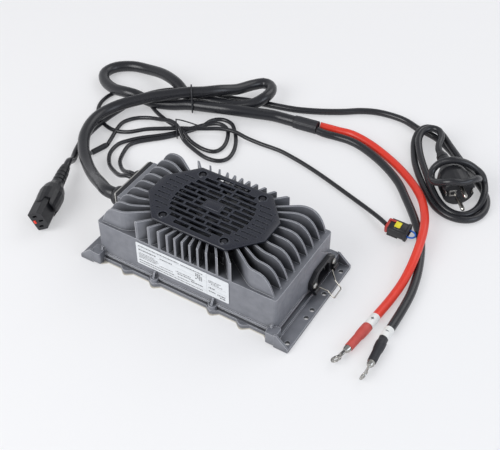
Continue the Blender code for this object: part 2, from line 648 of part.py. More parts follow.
def build_housing():
    """Cast the housing: body, flange, feet, fins, inlet pod and gland hood in one solid."""
    body = prism("housing", [rounded(rectangle((0, 0), (HALF_LENGTH, HALF_WIDTH)), BODY_CORNER_RADIUS)],
                 FLANGE_BOTTOM + OVERLAP, DECK_TOP, "cast_grey")
    edge = HALF_WIDTH + FLANGE_REACH_SIDE
    flange = prism("flange", [rectangle((0, 0), (HALF_LENGTH + FLANGE_REACH_END, edge))], FLANGE_BOTTOM, FLANGE_TOP)
    solids = [flange] + lobes("flange_lobe", SIDE_LOBES, edge, LOBE_REACH, HALF_LENGTH,
                             FLANGE_BOTTOM + STEP, FLANGE_TOP - STEP)
    bead_path = rounded(rectangle((0, 0), (HALF_LENGTH + BEAD_REACH, HALF_WIDTH + BEAD_REACH)), BODY_CORNER_RADIUS, 2)
    solids.append(tube_solid("bead", [(x, y, BEAD_HEIGHT) for x, y in bead_path], BEAD_RADIUS, 1, True))
    for number, (x, y) in enumerate(COVER_SCREWS[:4]):
        solids.append(prism(f"screw_boss_{number}", [circle((x, y), BOSS_RADIUS, 12)], FLANGE_BOTTOM + OVERLAP, BOSS_TOP))
    side = HALF_WIDTH
    for number, x in enumerate((*SCREW_LOBES, -CORNER_LOBE_X, CORNER_LOBE_X)):
        for sign in (-1, 1):
            rib = [(sign * (side - 1 * MM), BEAD_HEIGHT), (sign * (side + 6.0 * MM), BEAD_HEIGHT),
                   (sign * (side + 1.5 * MM), RIB_TOP + 1.5 * MM), (sign * (side - 1 * MM), RIB_TOP + 1.5 * MM)]
            solids.append(end_prism(f"boss_rib_{number}_{sign}", [rib[::sign]], x - RIB_THICKNESS / 2, x + RIB_THICKNESS / 2))
    end = HALF_LENGTH + FLANGE_REACH_END
    for sign in (-1, 1):
        reach = EAR_HALF_WIDTH - 2 * STEP
        ear = [(sign * (end - 2 * MM), -reach), (sign * EAR_TIP, -reach),
               (sign * EAR_TIP, reach), (sign * (end - 2 * MM), reach)]
        solids.append(prism(f"ear_{sign}", [rounded(ear[::sign], 1.2 * MM, 2)], 0.0, EAR_THICKNESS))
        for side_sign in (-1, 1):
            tip = EAR_HALF_WIDTH - STEP
            block = [(sign * BLOCK_START, side_sign * (HALF_WIDTH - 2 * MM)),
                     (sign * (end + STEP), side_sign * (HALF_WIDTH - 2 * MM)),
                     (sign * (end + STEP), side_sign * tip), (sign * BLOCK_START, side_sign * tip)]
            solids.append(prism(f"corner_block_{sign}_{side_sign}", [rounded(block[::sign * side_sign], 1.5 * MM, 2)],
                                FLANGE_BOTTOM + STEP, BLOCK_TOP))
            gusset = [(sign * (end - 1.7 * MM), STEP), (sign * (EAR_TIP - STEP), STEP),
                      (sign * (EAR_TIP - STEP), GUSSET_TIP),
                      (sign * (end + 1.0 * MM), GUSSET_TOP), (sign * (end - 1.7 * MM), GUSSET_TOP)]
            faces = sorted((side_sign * EAR_HALF_WIDTH, side_sign * (EAR_HALF_WIDTH - GUSSET_THICKNESS)))
            solids.append(side_prism(f"gusset_{sign}_{side_sign}", [gusset[::sign]], *faces))
    solids.append(build_fins())
    solids.append(build_pod())
    solids.append(prism("gland_hood", [rectangle((-(HOOD_OUT + HOOD_IN) / 2, (HOOD_NEAR + HOOD_FAR) / 2),
                                                 ((HOOD_OUT - HOOD_IN) / 2, (HOOD_FAR - HOOD_NEAR) / 2))],
                        DECK_TOP - OVERLAP, HOOD_TOP))
    for number, (x, y) in enumerate(FAN_SCREWS):
        solids.append(prism(f"fan_post_{number}", [circle((x, y), POST_RADIUS, 12)], DECK_TOP - 1 * MM, FAN_BOTTOM - GAP))
    combine(body, solids)
    cut_housing(body)
    return body


def cut_housing(body):
    """Hollow the housing, add its standoffs, and drill and open it."""
    cavity = prism("cavity", [rounded(rectangle((0, 0), (HALF_LENGTH - WALL, HALF_WIDTH - WALL)), 2 * MM, 2)],
                   -5 * MM, CAVITY_TOP)
    combine(body, [cavity], "DIFFERENCE")
    posts = [prism(f"standoff_{number}", [circle(place, STANDOFF_RADIUS, 10)], BOARD_TOP + GAP, DECK_TOP - 1 * MM)
             for number, place in enumerate(STANDOFF_PLACES)]
    combine(body, posts)
    drills = []
    for number, place in enumerate(COVER_SCREWS):
        drills.append(prism(f"cover_pilot_{number}", [circle(place, 1.7 * MM, 8)], 0.0, 9.5 * MM))
    for number, place in enumerate(STANDOFF_PLACES):
        drills.append(prism(f"board_pilot_{number}", [circle(place, 1.7 * MM, 8)], 0.0, 24.0 * MM))
    for number, place in enumerate(FAN_SCREWS):
        drills.append(prism(f"fan_pilot_{number}", [circle(place, SCREW_SHAFT_RADIUS + GAP, 8)], DECK_TOP + 1 * MM, FIN_TOP))
    for sign in (-1, 1):
        for number, y in enumerate(EAR_HOLE_PLACES):
            drills.append(prism(f"ear_hole_{sign}_{number}", [circle((sign * EAR_HOLE_X, y), EAR_HOLE_RADIUS, 12)],
                                -2 * MM, EAR_THICKNESS + 2 * MM))
    width, height = INLET_BODY_HALF
    drills.append(end_prism("inlet_window", [rectangle((INLET_Y, INLET_Z), (width + GAP, height + GAP))],
                            HALF_LENGTH - 2 * WALL, POD_FACE + 5 * MM))
    for sign in (-1, 1):
        drills.append(end_prism(f"inlet_pilot_{sign}", [circle((INLET_Y + sign * INLET_SCREW_OFFSET, INLET_Z), 1.9 * MM, 8)],
                                POD_FACE - 8 * MM, POD_FACE + 5 * MM))
    for name, y, radius in (("output", OUTPUT_GLAND_Y, OUTPUT_THREAD_RADIUS), ("signal", SIGNAL_GLAND_Y, SIGNAL_THREAD_RADIUS)):
        drills.append(end_prism(f"{name}_bore", [circle((y, GLAND_HEIGHT), radius + GAP, 16)],
                                -HALF_LENGTH - 5 * MM, -HOOD_IN - 1.6 * MM))
    for number, place in enumerate(gland_screw_places()):
        drills.append(end_prism(f"plate_pilot_{number}", [circle(place, 1.5 * MM, 8)],
                                -HALF_LENGTH - 5 * MM, -HALF_LENGTH + WALL + 4 * MM))
    groove = prism("gasket_groove", gasket_outlines(1.5 * MM), 0.0, FLANGE_BOTTOM + 1.6 * MM)
    drills.append(groove)
    combine(body, drills, "DIFFERENCE")


def gasket_outlines(half_width):
    """Return the two outlines of the gasket ring, which runs in the wall's foot."""
    middle = (HALF_LENGTH + 0.4 * MM, HALF_WIDTH + 0.4 * MM)
    return [rounded(rectangle((0, 0), (middle[0] + shift, middle[1] + shift)), 3 * MM + shift, 2)
            for shift in (half_width, -half_width)]


def gland_screw_places():
    """Return the gland plate's screw places in Y and Z."""
    return [(HOOD_NEAR + 7 * MM, 26 * MM), (HOOD_FAR - 7 * MM, 26 * MM)]


def build_base():
    """Make the base cover with its countersunk holes, and its gasket."""
    places = (*SIDE_LOBES, -CORNER_LOBE_X, CORNER_LOBE_X)
    edge = HALF_WIDTH + FLANGE_REACH_SIDE
    end = HALF_LENGTH + FLANGE_REACH_END - 2.4 * MM
    cover = prism("base_cover", [rectangle((0, 0), (end, edge))],
                  0.0, COVER_THICKNESS, "sheet_aluminium")
    combine(cover, lobes("cover_lobe", places, edge, LOBE_REACH + 1.0 * MM, end - STEP,
                         STEP / 2, COVER_THICKNESS - STEP / 2))
    sinks = []
    for number, (x, y) in enumerate(COVER_SCREWS):
        frame = Matrix.Translation((x, y, 0.0))
        sinks.append(lathe(f"cover_sink_{number}", [(0, 3 * MM), (1.9 * MM, 3 * MM), (1.9 * MM, 1.5 * MM), (3.4 * MM, 0.0),
                                                    (3.4 * MM, -2 * MM), (0, -2 * MM)], None, 10, frame))
    combine(cover, sinks, "DIFFERENCE")
    prism("base_gasket", gasket_outlines(1.1 * MM), FLANGE_BOTTOM, FLANGE_BOTTOM + 1.3 * MM, "black_rubber")


def grille_corners(inset=0.0):
    """Return the grille's eight corners, anticlockwise."""
    right = [(GRILLE_LONG_SIDE, -GRILLE_HALF_WIDTH + inset), (GRILLE_HALF_LENGTH - inset, -GRILLE_SHORT_SIDE),
             (GRILLE_HALF_LENGTH - inset, GRILLE_SHORT_SIDE), (GRILLE_LONG_SIDE, GRILLE_HALF_WIDTH - inset)]
    return right + [(-x, y) for x, y in reversed(right)]


def grille_reach(y):
    """Return how far along X the grille reaches at a height y of its plan."""
    if abs(y) <= GRILLE_SHORT_SIDE:
        return GRILLE_HALF_LENGTH
    share = (abs(y) - GRILLE_SHORT_SIDE) / (GRILLE_HALF_WIDTH - GRILLE_SHORT_SIDE)
    return GRILLE_HALF_LENGTH + share * (GRILLE_LONG_SIDE - GRILLE_HALF_LENGTH)


def slot_rows():
    """Return the grille's open slots and its blind grooves as spans (left, right, y)."""
    slots, grooves = [], []
    for row in range(-8, 9):
        y = row * SLOT_PITCH
        opening = math.sqrt(FAN_BORE_RADIUS ** 2 - y * y) if abs(y) < FAN_BORE_RADIUS else 0.0
        shift = SLOT_RUN / 2 if row % 2 else 0.0
        for number in range(-4, 5):
            left = max(number * SLOT_RUN + shift + BRIDGE / 2, -opening)
            right = min((number + 1) * SLOT_RUN + shift - BRIDGE / 2, opening)
            blocked = abs(y) < NAMEPLATE[1] + 2 * MM and left < NAMEPLATE[0] + 2 * MM and right > -NAMEPLATE[0] - 2 * MM
            if right - left > 4 * MM and not blocked:
                slots.append((left, right, y))
        for sign in (-1, 1):
            start = max(opening + 2.5 * MM, 0.0)
            stop = grille_reach(y) - GRILLE_MARGIN
            near_screw = abs(abs(y) - FAN_SCREW_PITCH / 2) < SCREW_HEAD_RADIUS + 3.5 * MM
            if near_screw:
                start = max(start, FAN_SCREW_PITCH / 2 + SCREW_HEAD_RADIUS + 3.5 * MM)
            if stop - start > 5 * MM and abs(y) < GRILLE_HALF_WIDTH - 4 * MM:
                span = sorted((sign * start, sign * stop))
                grooves.append((*span, y))
    return slots, grooves


def slot_boxes(name, spans, low, high):
    """Make one cutter for all spans."""
    return prism(name, [rectangle(((left + right) / 2, y), ((right - left) / 2, SLOT_HALF_WIDTH)) for left, right, y in spans],
                 low, high)


def build_grille():
    """Make the fan grille, with open slots over the fan and blind grooves around it, and its screws."""
    grille = prism("fan_grille", [rounded(grille_corners(), GRILLE_CORNER_RADIUS)], GRILLE_BOTTOM, GRILLE_TOP, "black_plastic")
    rim = grille.modifiers.new("rim", "BEVEL")
    rim.width = 1.1 * MM
    rim.segments = 2
    rim.limit_method = "ANGLE"
    rim.angle_limit = math.radians(60.0)
    plate = prism("nameplate", [rounded(rectangle((0, 0), NAMEPLATE[:2]), 1 * MM, 2)],
                  GRILLE_TOP - 1 * MM, GRILLE_TOP + NAMEPLATE[2])
    combine(grille, [plate])
    slots, grooves = slot_rows()
    cuts = [slot_boxes("open_slots", slots, GRILLE_BOTTOM - 3 * MM, GRILLE_TOP + 3 * MM),
            slot_boxes("blind_grooves", grooves, GRILLE_TOP - GROOVE_DEPTH, GRILLE_TOP + 3 * MM)]
    seat = GRILLE_TOP - SCREW_HEAD_HEIGHT
    for number, place in enumerate(FAN_SCREWS):
        cuts.append(prism(f"screw_hole_{number}", [circle(place, SCREW_SHAFT_RADIUS + GAP, 10)],
                          GRILLE_BOTTOM - 3 * MM, seat + 1 * MM))
        cuts.append(prism(f"screw_seat_{number}", [circle(place, SCREW_HEAD_RADIUS + 0.8 * MM, 16)], seat, GRILLE_TOP + 3 * MM))
        lathe(f"grille_screw_{number + 1}", [
            (0, seat + 2.1 * MM), (SCREW_HEAD_RADIUS - 1 * MM, seat + 2.1 * MM), (SCREW_HEAD_RADIUS, seat + 1.2 * MM),
            (SCREW_HEAD_RADIUS, seat + GAP), (SCREW_SHAFT_RADIUS, seat + GAP), (SCREW_SHAFT_RADIUS, DECK_TOP + 2 * MM),
            (0, DECK_TOP + 2 * MM)], "tinned_metal", 12, Matrix.Translation((*place, 0.0)))
    combine(grille, cuts, "DIFFERENCE")


def build_fan():
    """Make the fan's frame with its struts and motor cup, and the rotor with its blades."""
    half = FAN_SIZE / 2
    holes = [circle(place, FAN_CORNER_HOLE, 8) for place in FAN_SCREWS]
    frame = prism("fan_frame", [rounded(rectangle((0, 0), (half, half)), 3 * MM, 2), circle((0, 0), FAN_BORE_RADIUS, 32)] + holes,
                  FAN_BOTTOM, FAN_TOP, "black_plastic")
    cup = [prism("motor_cup", [circle((0, 0), HUB_RADIUS - 1 * MM, 20)], FAN_BOTTOM, FAN_BOTTOM + MOTOR_CUP_DEPTH)]
    for number in range(4):
        angle = math.pi / 4 + number * math.pi / 2
        way = Vector((math.cos(angle), math.sin(angle)))
        path = [tuple(way * (HUB_RADIUS - 4 * MM)), tuple(way * (FAN_BORE_RADIUS + 2 * MM))]
        cup.append(prism(f"strut_{number}", [strip(path, STRUT_HALF_WIDTH)], FAN_BOTTOM, FAN_BOTTOM + MOTOR_CUP_DEPTH - 0.4 * MM))
    combine(frame, cup)
    hub_low = FAN_BOTTOM + MOTOR_CUP_DEPTH + GAP
    hub_high = FAN_TOP - 0.8 * MM
    rotor = lathe("fan_rotor", [(0, hub_high), (HUB_RADIUS - 1.5 * MM, hub_high), (HUB_RADIUS, hub_high - 1.5 * MM),
                                (HUB_RADIUS, hub_low), (0, hub_low)], "black_plastic", 28)
    combine(rotor, [blade(number, hub_low + 1.2 * MM) for number in range(BLADE_COUNT)])


def blade(number, low):
    """Make one fan blade: a radial line swept along a helix and thickened."""
    data = bmesh.new()
    radii = (HUB_RADIUS - 1.2 * MM, (HUB_RADIUS + BLADE_TIP_RADIUS) / 2, BLADE_TIP_RADIUS)
    points = [data.verts.new((radius, 0.0, 0.0)) for radius in radii]
    for first, second in zip(points, points[1:]):
        data.edges.new((first, second))
    mesh = bpy.data.meshes.new(f"blade_{number}")
    data.to_mesh(mesh)
    data.free()
    thing = bpy.data.objects.new(f"blade_{number}", mesh)
    CUTTERS.objects.link(thing)
    screw = thing.modifiers.new("sweep", "SCREW")
    screw.angle = BLADE_SWEEP
    screw.screw_offset = BLADE_RISE
    screw.steps = 5
    screw.render_steps = 5
    thicken = thing.modifiers.new("thicken", "SOLIDIFY")
    thicken.thickness = BLADE_THICKNESS
    thicken.offset = 0.0
    thing.location = (0, 0, low + BLADE_THICKNESS / 2)
    thing.rotation_euler = (0, 0, math.tau * number / BLADE_COUNT)
    return thing


def build_gland_end():
    """Make the seal block, the gland plate and the two cable glands."""
    near, far = HOOD_NEAR + 3.0 * MM, HOOD_FAR - 0.5 * MM
    seal = end_prism("gland_seal", [rectangle(((near + far) / 2, (DECK_TOP + GAP + HOOD_TOP) / 2),
                                       ((far - near) / 2, (HOOD_TOP - DECK_TOP - GAP) / 2))],
              -HALF_LENGTH, -HOOD_OUT - GAP, "black_rubber")
    reliefs = []
    outline = rounded(rectangle(((near + far) / 2, (GLAND_PLATE_BOTTOM + HOOD_TOP) / 2),
                                ((far - near) / 2, (HOOD_TOP - GLAND_PLATE_BOTTOM) / 2)), 2 * MM, 2)
    plate = end_prism("gland_plate", [outline], *GLAND_PLATE_X, "sheet_aluminium")
    cuts = []
    for number, place in enumerate(gland_screw_places()):
        cuts.append(end_prism(f"plate_hole_{number}", [circle(place, 1.8 * MM, 8)], GLAND_PLATE_X[0] - 2 * MM, GLAND_PLATE_X[1] + 2 * MM))
    for name, y, radius in (("output", OUTPUT_GLAND_Y, OUTPUT_THREAD_RADIUS), ("signal", SIGNAL_GLAND_Y, SIGNAL_THREAD_RADIUS)):
        cuts.append(end_prism(f"{name}_plate_hole", [circle((y, GLAND_HEIGHT), radius + GAP, 16)],
                              GLAND_PLATE_X[0] - 2 * MM, GLAND_PLATE_X[1] + 2 * MM))
        reliefs.append(end_prism(f"{name}_relief", [circle((y, GLAND_HEIGHT), radius + GAP, 16)],
                                 -HALF_LENGTH - 2 * MM, -HOOD_OUT + 2 * MM))
        build_gland(name, y, radius)
    combine(plate, cuts, "DIFFERENCE")
    combine(seal, reliefs, "DIFFERENCE")


def build_gland(name, y, radius):
    """Make a cable gland: a threaded body with a hexagon, and a domed cap nut over it."""
    start = (-HOOD_IN - 2.4 * MM, y, GLAND_HEIGHT)
    frame = aim(start, (start[0] - 1.0, y, GLAND_HEIGHT))
    seat = -GLAND_PLATE_X[0] + start[0] + GAP
    crest = seat + GLAND_HEX_HEIGHT
    body = lathe(f"{name}_gland", [(0, crest + 3 * MM), (radius - 1 * MM, crest + 3 * MM), (radius - 1 * MM, crest), (radius, crest),
                                   (radius, 0), (0, 0)], "black_plastic", 16, frame)
    hexagon = prism(f"{name}_hexagon", [circle((0, 0), radius + 2.9 * MM, 6)], seat, crest, None, frame)
    combine(body, [hexagon])
    low, high = crest + GAP, crest + GLAND_NUT_HEIGHT
    nut = lathe(f"{name}_gland_nut", [(0, high), (radius - 1.4 * MM, high), (radius + 0.7 * MM, high - 1.2 * MM),
                                      (radius + 2.2 * MM, low + 2.5 * MM), (radius + 2.2 * MM, low), (0, low)],
                "black_plastic", 18, frame)
    bore = lathe(f"{name}_nut_bore", [(0, crest + 3 * MM + GAP), (radius - 1 * MM + GAP, crest + 3 * MM + GAP),
                                      (radius - 1 * MM + GAP, low - 2 * MM), (0, low - 2 * MM)], None, 18, frame)
    combine(nut, [bore], "DIFFERENCE")


def build_inlet():
    """Make the mains inlet with its gasket, pins and screws, and the wire bail on its sleeves."""
    width, height = INLET_BODY_HALF
    screw_holes = [circle((INLET_Y + sign * INLET_SCREW_OFFSET, INLET_Z), 1.9 * MM, 10) for sign in (-1, 1)]
    end_prism("inlet_gasket", [inlet_outline(), rectangle((INLET_Y, INLET_Z), (width + GAP, height + GAP))] + screw_holes,
              POD_FACE + GAP, POD_FACE + GAP + INLET_GASKET_THICKNESS, "black_rubber")
    flange_back = INLET_FACE - INLET_FLANGE_THICKNESS
    body = end_prism("inlet_body", [inlet_outline()], flange_back, INLET_FACE, "black_plastic")
    shell = end_prism("inlet_shell", [rectangle((INLET_Y, INLET_Z), INLET_BODY_HALF)], INLET_BACK, flange_back + 1 * MM)
    combine(body, [shell])
    pins = [(0.0, 4.0 * MM), (-7.0 * MM, 0.0), (7.0 * MM, 0.0)]
    cuts = [end_prism(f"inlet_hole_{number}", [hole], flange_back - 3 * MM, INLET_FACE + 3 * MM)
            for number, hole in enumerate(screw_holes)]
    cuts += [end_prism("socket", [inlet_socket(SOCKET_HALF, 4.6 * MM)], INLET_FACE - SOCKET_DEPTH, INLET_FACE + 3 * MM)]
    for number, (y, z) in enumerate(pins):
        centre = (INLET_Y + y, INLET_Z + z)
        cuts.append(end_prism(f"pin_hole_{number}", [rectangle(centre, (1.0 * MM + GAP, 2.0 * MM + GAP))],
                              INLET_BACK - 3 * MM, INLET_FACE))
        end_prism(INLET_PINS[number], [rectangle(centre, (1.0 * MM, 2.0 * MM))],
                  INLET_BACK - 5 * MM, INLET_FACE - 2.5 * MM, "tinned_metal")
    combine(body, cuts, "DIFFERENCE")
    for sign, side in ((-1, "near"), (1, "far")):
        y = INLET_Y + sign * INLET_SCREW_OFFSET
        frame = aim((POD_FACE - 7 * MM, y, INLET_Z), (1.0, y, INLET_Z))
        seat = INLET_FACE + GAP - POD_FACE + 7 * MM
        lathe(f"{side}_inlet_screw", [
            (0, seat + 2.4 * MM), (2.4 * MM, seat + 2.4 * MM), (3.6 * MM, seat + 1.2 * MM), (3.6 * MM, seat), (1.6 * MM, seat),
            (1.6 * MM, 0), (0, 0)], "tinned_metal", 12, frame)
        build_sleeve(sign, side, y)
    build_bail()


def build_sleeve(sign, side, y):
    """Make one bearing sleeve below an inlet screw; the bail's end turns in its bore."""
    frame = aim((BAIL_PIVOT_X, y - sign * 4.2 * MM, BAIL_PIVOT_Z), (BAIL_PIVOT_X, y + sign * 10 * MM, BAIL_PIVOT_Z))
    profile = [(0, 8.4 * MM), (SLEEVE_RADIUS, 8.4 * MM), (SLEEVE_RADIUS, 0), (BAIL_WIRE_RADIUS + GAP, 0),
               (BAIL_WIRE_RADIUS + GAP, 5.0 * MM), (0, 5.0 * MM)]
    lathe(f"{side}_bail_sleeve", profile, "black_plastic", 14, frame)


def bail_path():
    """Return the wire's places, from one pivot end round the nose to the other."""
    half = INLET_SCREW_OFFSET
    shape = [(0.0, half - 0.6 * MM), (0.0, half - 5.6 * MM), (1.2 * MM, half - 6.8 * MM), (7.6 * MM, 9.4 * MM),
             (8.6 * MM, 8.2 * MM), (17.4 * MM, 8.0 * MM), (18.6 * MM, 6.8 * MM)]
    nose = 6.0 * MM
    droop = math.radians(-21.0)
    centre_y = INLET_Y
    places = []
    for reach, offset in shape + [(reach, -offset) for reach, offset in reversed(shape)]:
        lean = -nose * reach / (18.6 * MM)
        places.append((BAIL_PIVOT_X + reach * math.cos(droop), centre_y + offset + lean, BAIL_PIVOT_Z + reach * math.sin(droop)))
    return places


def build_bail():
    """Bend the retaining bail from one wire."""
    tube("retaining_bail", [bail_path()], BAIL_WIRE_RADIUS, "tinned_metal", 2)


def build_electronics():
    """Make the circuit board and the main components on it."""
    outline = [rectangle((0, 0), BOARD_HALF)] + [circle(place, 1.9 * MM, 8) for place in STANDOFF_PLACES]
    prism("main_board", outline, BOARD_BOTTOM, BOARD_TOP, "green_board")
    low = BOARD_TOP + GAP
    prism("transformer_winding", [rounded(rectangle((12 * MM, 8 * MM), (15 * MM, 11.6 * MM)), 3 * MM, 2)],
          low, low + 24 * MM, "copper_wire")
    core = prism("transformer_core", [rectangle((12 * MM, 8 * MM), (19 * MM, 17 * MM)), rectangle((12 * MM, 8 * MM), (15.4 * MM, 12 * MM))],
                 low, low + 28 * MM, "ferrite")
    yoke = prism("core_yoke", [rectangle((12 * MM, 8 * MM), (17 * MM, 15 * MM))], low + 24 * MM + GAP, low + 27 * MM)
    combine(core, [yoke])
    build_choke(low)
    for number in range(2):
        frame = Matrix.Translation(((44 + 25 * number) * MM, -20 * MM, low))
        lathe(f"bulk_capacitor_{number + 1}", [(0, 32 * MM), (10 * MM, 32 * MM), (11 * MM, 31 * MM), (11 * MM, 1 * MM), (10 * MM, 0), (0, 0)],
              "capacitor_sleeve", 16, frame)
    prism("bridge_rectifier", [rounded(rectangle((58 * MM, 30 * MM), (15 * MM, 2.5 * MM)), 1 * MM, 2)], low, low + 22 * MM, "ferrite")
    build_power_stage(low)
    build_terminals(low)


def build_choke(low):
    """Make the toroidal choke, lying flat on the board."""
    bpy.ops.mesh.primitive_torus_add(major_radius=13 * MM, minor_radius=6 * MM, major_segments=20, minor_segments=8,
                                     location=(-32 * MM, 22 * MM, low + 6 * MM))
    choke = bpy.context.active_object
    choke.name = "power_choke"
    for holder in list(choke.users_collection):
        holder.objects.unlink(choke)
    link(choke, "copper_wire")
    choke.data.shade_smooth()


def build_power_stage(low):
    """Make the power module against the label side's wall."""
    wall = -HALF_WIDTH + WALL
    length = 42 * MM
    centre = -36 * MM
    leg = length - 6 * MM
    outline = [(-length, 16 * MM), (-leg, 16 * MM), (-leg, low), (leg, low), (leg, 16 * MM), (length, 16 * MM), (length, 38 * MM), (-length, 38 * MM)]
    side_prism("power_module", [[(centre + x, z) for x, z in outline]], wall + GAP, wall + GAP + 6 * MM, "ferrite")


def build_terminals(low):
    """Make the output terminal block: a moulded base with two studs."""
    outline = rounded(rectangle((TERMINALS_X, -10 * MM), (8 * MM, 20 * MM)), 2 * MM, 2)
    block = prism("output_terminals", [outline], low, low + 6 * MM, "brass")
    studs = [prism(f"stud_{number}", [circle((TERMINALS_X, y), 2.5 * MM, 10)], low + 4 * MM, low + 15 * MM)
             for number, y in enumerate((-21 * MM, 1 * MM))]
    combine(block, studs)


def build_label():
    """Make the blank rating label on the near side wall."""
    outline = rounded([(LABEL_X[0], LABEL_Z[0]), (LABEL_X[1], LABEL_Z[0]), (LABEL_X[1], LABEL_Z[1]), (LABEL_X[0], LABEL_Z[1])],
                      1.2 * MM, 2)
    side_prism("rating_label", [outline], -HALF_WIDTH - GAP - LABEL_THICKNESS, -HALF_WIDTH - GAP, "white_label")


def metres(point):
    """Turn a place in millimetres into metres."""
    return Vector(point) * MM


def build_output_leads():
    """Lay the output cable, its splitter and the two battery leads with their lugs."""
    cord("output_cable", [OUTPUT_ROUTE], OUTPUT_RADIUS, "cable_black", 3, 1.1)
    start, middle, stop = (metres(place) for place in SLEEVE_ROUTE)
    frame = aim(start, stop)
    length = (stop - start).length
    lathe("splitter_sleeve", [(0, length), (8.2 * MM, length), (8.2 * MM, 6 * MM), (7.8 * MM, 0), (0, 0)],
          "black_rubber", 16, frame @ Matrix.Diagonal((1.0, 1.0, 1.0, 1.0)))
    cord("positive_lead", [POSITIVE_ROUTE], LEAD_RADIUS, "cable_red")
    cord("negative_lead", [NEGATIVE_ROUTE], LEAD_RADIUS, "cable_black")
    for name, boot, lug, colour in (("positive", POSITIVE_BOOT, POSITIVE_LUG, "dull_red"),
                                    ("negative", NEGATIVE_BOOT, NEGATIVE_LUG, "black_rubber")):
        tube(f"{name}_boot", [smooth_route(boot, 9 * MM)], LEAD_RADIUS + 0.5 * MM, colour, 3)
        build_lug(name, lug)


def build_lug(name, run):
    """Make a ring lug: a barrel, a flat neck and a ring with its bolt hole."""
    start, stop = metres(run[0]), metres(run[1])
    turn = 0.0 if name == "positive" else math.radians(70.0)
    frame = aim(start, stop, turn)
    reach = (stop - start).length
    barrel = lathe(f"{name}_lug", [(0, 8 * MM), (3.4 * MM, 8 * MM), (3.9 * MM, 6.5 * MM), (3.9 * MM, 0), (0, 0)],
                   "tinned_metal", 14, frame)
    ring = arc((0, reach), 5.4 * MM, math.radians(-62), math.radians(242), 18)
    outline = [(3.0 * MM, 5 * MM)] + ring + [(-3.0 * MM, 5 * MM)]
    flat = Matrix(((1, 0, 0, 0), (0, 0, 1, 0), (0, 1, 0, 0), (0, 0, 0, 1)))
    plate = prism(f"{name}_ring", [outline, circle((0, reach), 2.9 * MM, 14)], -0.9 * MM, 0.9 * MM, None, frame @ flat)
    combine(barrel, [plate])


def build_signal_leads():
    """Lay the two thin leads, their tied hank, the three-way connector and the charging lamp."""
    cord("signal_cable", [SIGNAL_ROUTE], SIGNAL_RADIUS, "cable_black", 2, 2.2)
    cord("lamp_cable", [LAMP_ROUTE_OUT], SIGNAL_RADIUS, "cable_black", 2, 2.2)
    cord("lamp_lead", [LAMP_ROUTE_BACK], SIGNAL_RADIUS, "cable_black", 2, 2.2)
    cord("signal_lead", [CONNECTOR_ROUTE], SIGNAL_RADIUS, "cable_black", 2, 2.2)
    outline = [tuple(Vector(place) * MM) for place in SIGNAL_HANK_OUTLINE]
    prism("signal_hank", [outline], GAP, SIGNAL_HANK_HEIGHT * MM, "cable_black")
    start, stop = metres(LAMP_SLEEVE[0]), metres(LAMP_SLEEVE[1])
    length = (stop - start).length
    lathe("lamp_sleeve", [(0, length), (3.4 * MM, length), (3.5 * MM, 3 * MM), (2.9 * MM, 0), (0, 0)], "black_rubber", 12, aim(start, stop))
    start, stop = metres(LAMP_LENS[0]), metres(LAMP_LENS[1])
    length = (stop - start).length
    lathe("lamp_lens", [(0, length), (1.6 * MM, length - 0.5 * MM), (2.4 * MM, length - 2 * MM), (2.5 * MM, 1 * MM), (2.5 * MM, 0), (0, 0)],
          "clear_lens", 12, aim(start, stop))
    build_connector()


def build_connector():
    """Make the three-way connector: seal retainer, housing, yellow lock and the looped jumper wire."""
    rear = metres((131.3, 138.4, 8.4))
    front = rear + metres((33.0, -15.5, 0.0))
    frame = aim(rear, front, 0.0)
    across = 10.6 * MM
    thick = 7.4 * MM
    housing = prism("connector_housing", [rounded(rectangle((0, 0), (across, thick)), 1.6 * MM, 2)],
                    0, 31 * MM, "black_plastic", frame)
    collar = prism("connector_collar", [rounded(rectangle((0, 0), (across + 0.9 * MM, thick + 0.6 * MM)), 1.6 * MM, 2)],
                   19 * MM, 23 * MM, None, frame)
    mouth = prism("connector_mouth", [rectangle((0, 0), (across - 2 * MM, thick - 2 * MM))], 24 * MM, 35 * MM, None, frame)
    seat = prism("lock_seat", [rectangle((0, thick + 0.2 * MM), (5.4 * MM, 1.6 * MM))], 7 * MM, 17.6 * MM, None, frame)
    combine(housing, [collar])
    combine(housing, [mouth, seat], "DIFFERENCE")
    prism("connector_lock", [rounded(rectangle((0, thick + 0.3 * MM), (5.0 * MM, 1.3 * MM)), 0.6 * MM, 2)], 7.4 * MM, 17.2 * MM,
          "yellow_plastic", frame)


def build_mains_lead():
    """Lay the detachable mains lead: inlet connector, cord, hank and plug."""
    cord("mains_cord", [MAINS_ROUTE], MAINS_RADIUS, "cable_black")
    build_mains_hank()
    build_mains_connector()
    build_mains_plug()


def stadium(ends, radius, steps=10):
    """Return the outline of a slot with round ends around two centres."""
    first, second = (Vector(end) for end in ends)
    heading = math.atan2(second.y - first.y, second.x - first.x)
    return (arc(second, radius, heading - math.pi / 2, heading + math.pi / 2, steps)
            + arc(first, radius, heading + math.pi / 2, heading + 3 * math.pi / 2, steps))


def build_mains_hank():
    """Make the wound cord as a ring with round ends, which the plug lies in."""
    ends = [metres(end) for end in MAINS_HANK_ENDS]
    outer = stadium(ends, MAINS_HANK_RADIUS * MM)
    inner = stadium(ends, (MAINS_HANK_RADIUS - MAINS_HANK_WALL) * MM)
    prism("mains_hank", [outer, inner], GAP, MAINS_HANK_HEIGHT * MM, "cable_black")


